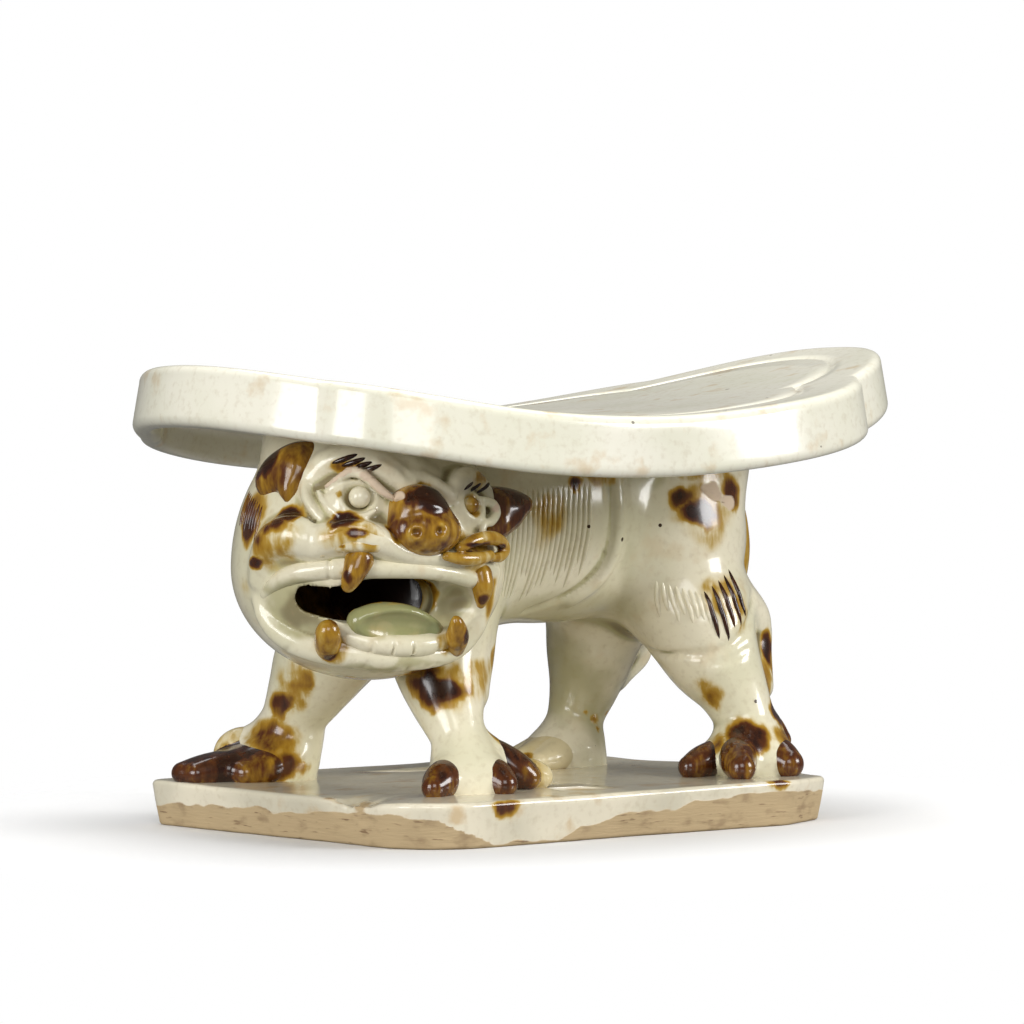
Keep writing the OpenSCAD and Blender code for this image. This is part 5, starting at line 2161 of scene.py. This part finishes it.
def scars(head: LionHead) -> list[Splash]:
    """Where the glaze crawled or broke off and the clay shows.

    Args:
        head: the head, which some scars are placed on.

    Returns:
        The scars.
    """
    face = head.face
    lid = through(((-19.4, 17.6), (-16, 19.6), (-13.4, 20), (-11.4, 18.4), (-9.4, 16.6),
                   (-6.6, 15.2)), 2)
    return [Splash(face(x, z, 2.6), (2.4, 2.4, 1.4), 0, 1) for x, z in lid] + [
        Splash(face(19, 12.8, 1.6), (2.2, 2.2, 2.2), 0, 0.6),
        Splash((39.4, -23.5, 77), (4.6, 5, 2.4), 0.6, 0.8),
        Splash((44.6, -23.5, 75.2), (3.6, 5, 2), 0.8, 0.75),
        Splash((-63, -25, 9), (7, 9, 2.8), 0, 0.85),
    ]


def pools_and_painted_shade(head: LionHead) -> list[Splash]:
    """Where the clear glaze lies thick enough to turn green, and where shade is painted in the same olive.

    Args:
        head: the head, which some of these marks are placed on.

    Returns:
        The marks.
    """
    return [
        # Olive over the whole head: partly the glaze's own green tone, partly painted shade like that under
        # the headrest
        Splash(head.at(0, 0, 0), (40, 40, 40), 0, 0.36),
        # Glaze pooled green in the mouth, on the lower lip and under the tongue
        Splash(head.at(-24, -14, -7), (8, 9, 7), 0, 0.9),
        Splash(head.at(10, -19, -7), (6, 8, 8), 0, 0.8),
        Splash(head.face(-3, -20.4, 0), (18, 10, 1.6), 0, 0.6),
        Splash(head.at(-4, -23, -13.4), (9, 4, 2.4), 0, 0.55),
        # Painted shade: olive darkening on the flank under the headrest, under the belly and on the far
        # legs
        Splash((5, -20, 74), (40, 8, 12), 6, 0.3),
        Splash((8, -8, 49), (34, 14, 8), 0, 0.4),
        Splash((33, 16, 32), (14, 12, 26), 0, 0.68),
        Splash((-40, 22, 40), (14, 12, 18), 0, 0.3),
    ]


def painted_hollow_shade(head: LionHead) -> list[Splash]:
    """Painted shade in the hollow of the head, which no light reaches.

    Args:
        head: the head.

    Returns:
        Splashes of near-black iron colour, painted shade on its inside walls.
    """
    hole = through(((-20, -10, -5.4), (-13, -14, -6.2), (-5, -15.5, -6.4), (2, -15, -6.5)), 2)
    # Painted shade: the whole inside of the head, darkest in the hole behind the mouth
    return [Splash(head.at(-2, 3, -2), (26, 18.5, 21), 0, 1.6)] + [
        Splash(head.at(*spot), (5, 5, 5.8), 0, 3) for spot in hole]


# Height of the glaze line round the side of the base, by direction in degrees
GLAZE_LINE = ((26, 5.0), (90, 5.0), (142, 4.5), (148, 4.0), (164, 6.2), (180, 6.0), (202, 7.0),
              (212, 7.5), (219, 7.0), (224, 3.0), (228, 0.5), (243, 0.5), (249, 3.0), (259, 4.8),
              (267, 5.8), (286, 6.9), (301, 7.6), (313, 7.3), (322, 7.0), (351, 6.0))
GLAZE_LINE_HALF_WIDTH = 0.7


def foot_of_base(points: Array) -> Array:
    """How bare the side of the base is.

    Args:
        points: places on the base.

    Returns:
        From 0 under glaze to 1 on bare clay, for each place.
    """
    turn = np.degrees(np.arctan2(points[:, 1], points[:, 0]))
    directions, heights = zip(*GLAZE_LINE)
    line = np.interp(turn, directions, heights, period=360)
    line += 0.8 * Wave.GLAZE_LINE.at(points) + 0.5 * Wave.GLAZE_DRIPS.at(points)
    return smooth_step(GLAZE_LINE_HALF_WIDTH, -GLAZE_LINE_HALF_WIDTH, points[:, 2] - line)


def main() -> None:
    """Build the pieces in order and report each one."""
    logging.basicConfig(level=logging.INFO, format="%(name)s: %(message)s")
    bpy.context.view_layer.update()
    saddle = Saddle()
    head = LionHead(saddle)
    groups = GlazeGroups()
    materials = {finish: finish.value.material(groups) for finish in Finish}
    # The painted shade of the head's hollow goes in with the iron splashes, and painted shade on the body
    # with the pooled glaze
    painter = Painter(splashes(head) + painted_hollow_shade(head), scars(head), pools_and_painted_shade(head))
    shop = Workshop(painter, materials)
    Headrest(saddle).build(shop)
    BaseSlab().build(shop)
    paws = Paws()
    body = LionBody(saddle, paws).build(shop)
    skull = head.build(shop)
    LionFace(head, shop).build()
    paws.build(shop)
    Tail().build(shop)
    strokes = CombStrokes()
    for passes, surface in zip(combs(head), (body, skull)):
        for comb in passes:
            strokes.lay(comb, surface, shop)
    Studio().build()
    LOG.info("%d pieces made", len(shop.made))


if __name__ == "__main__":
    main()
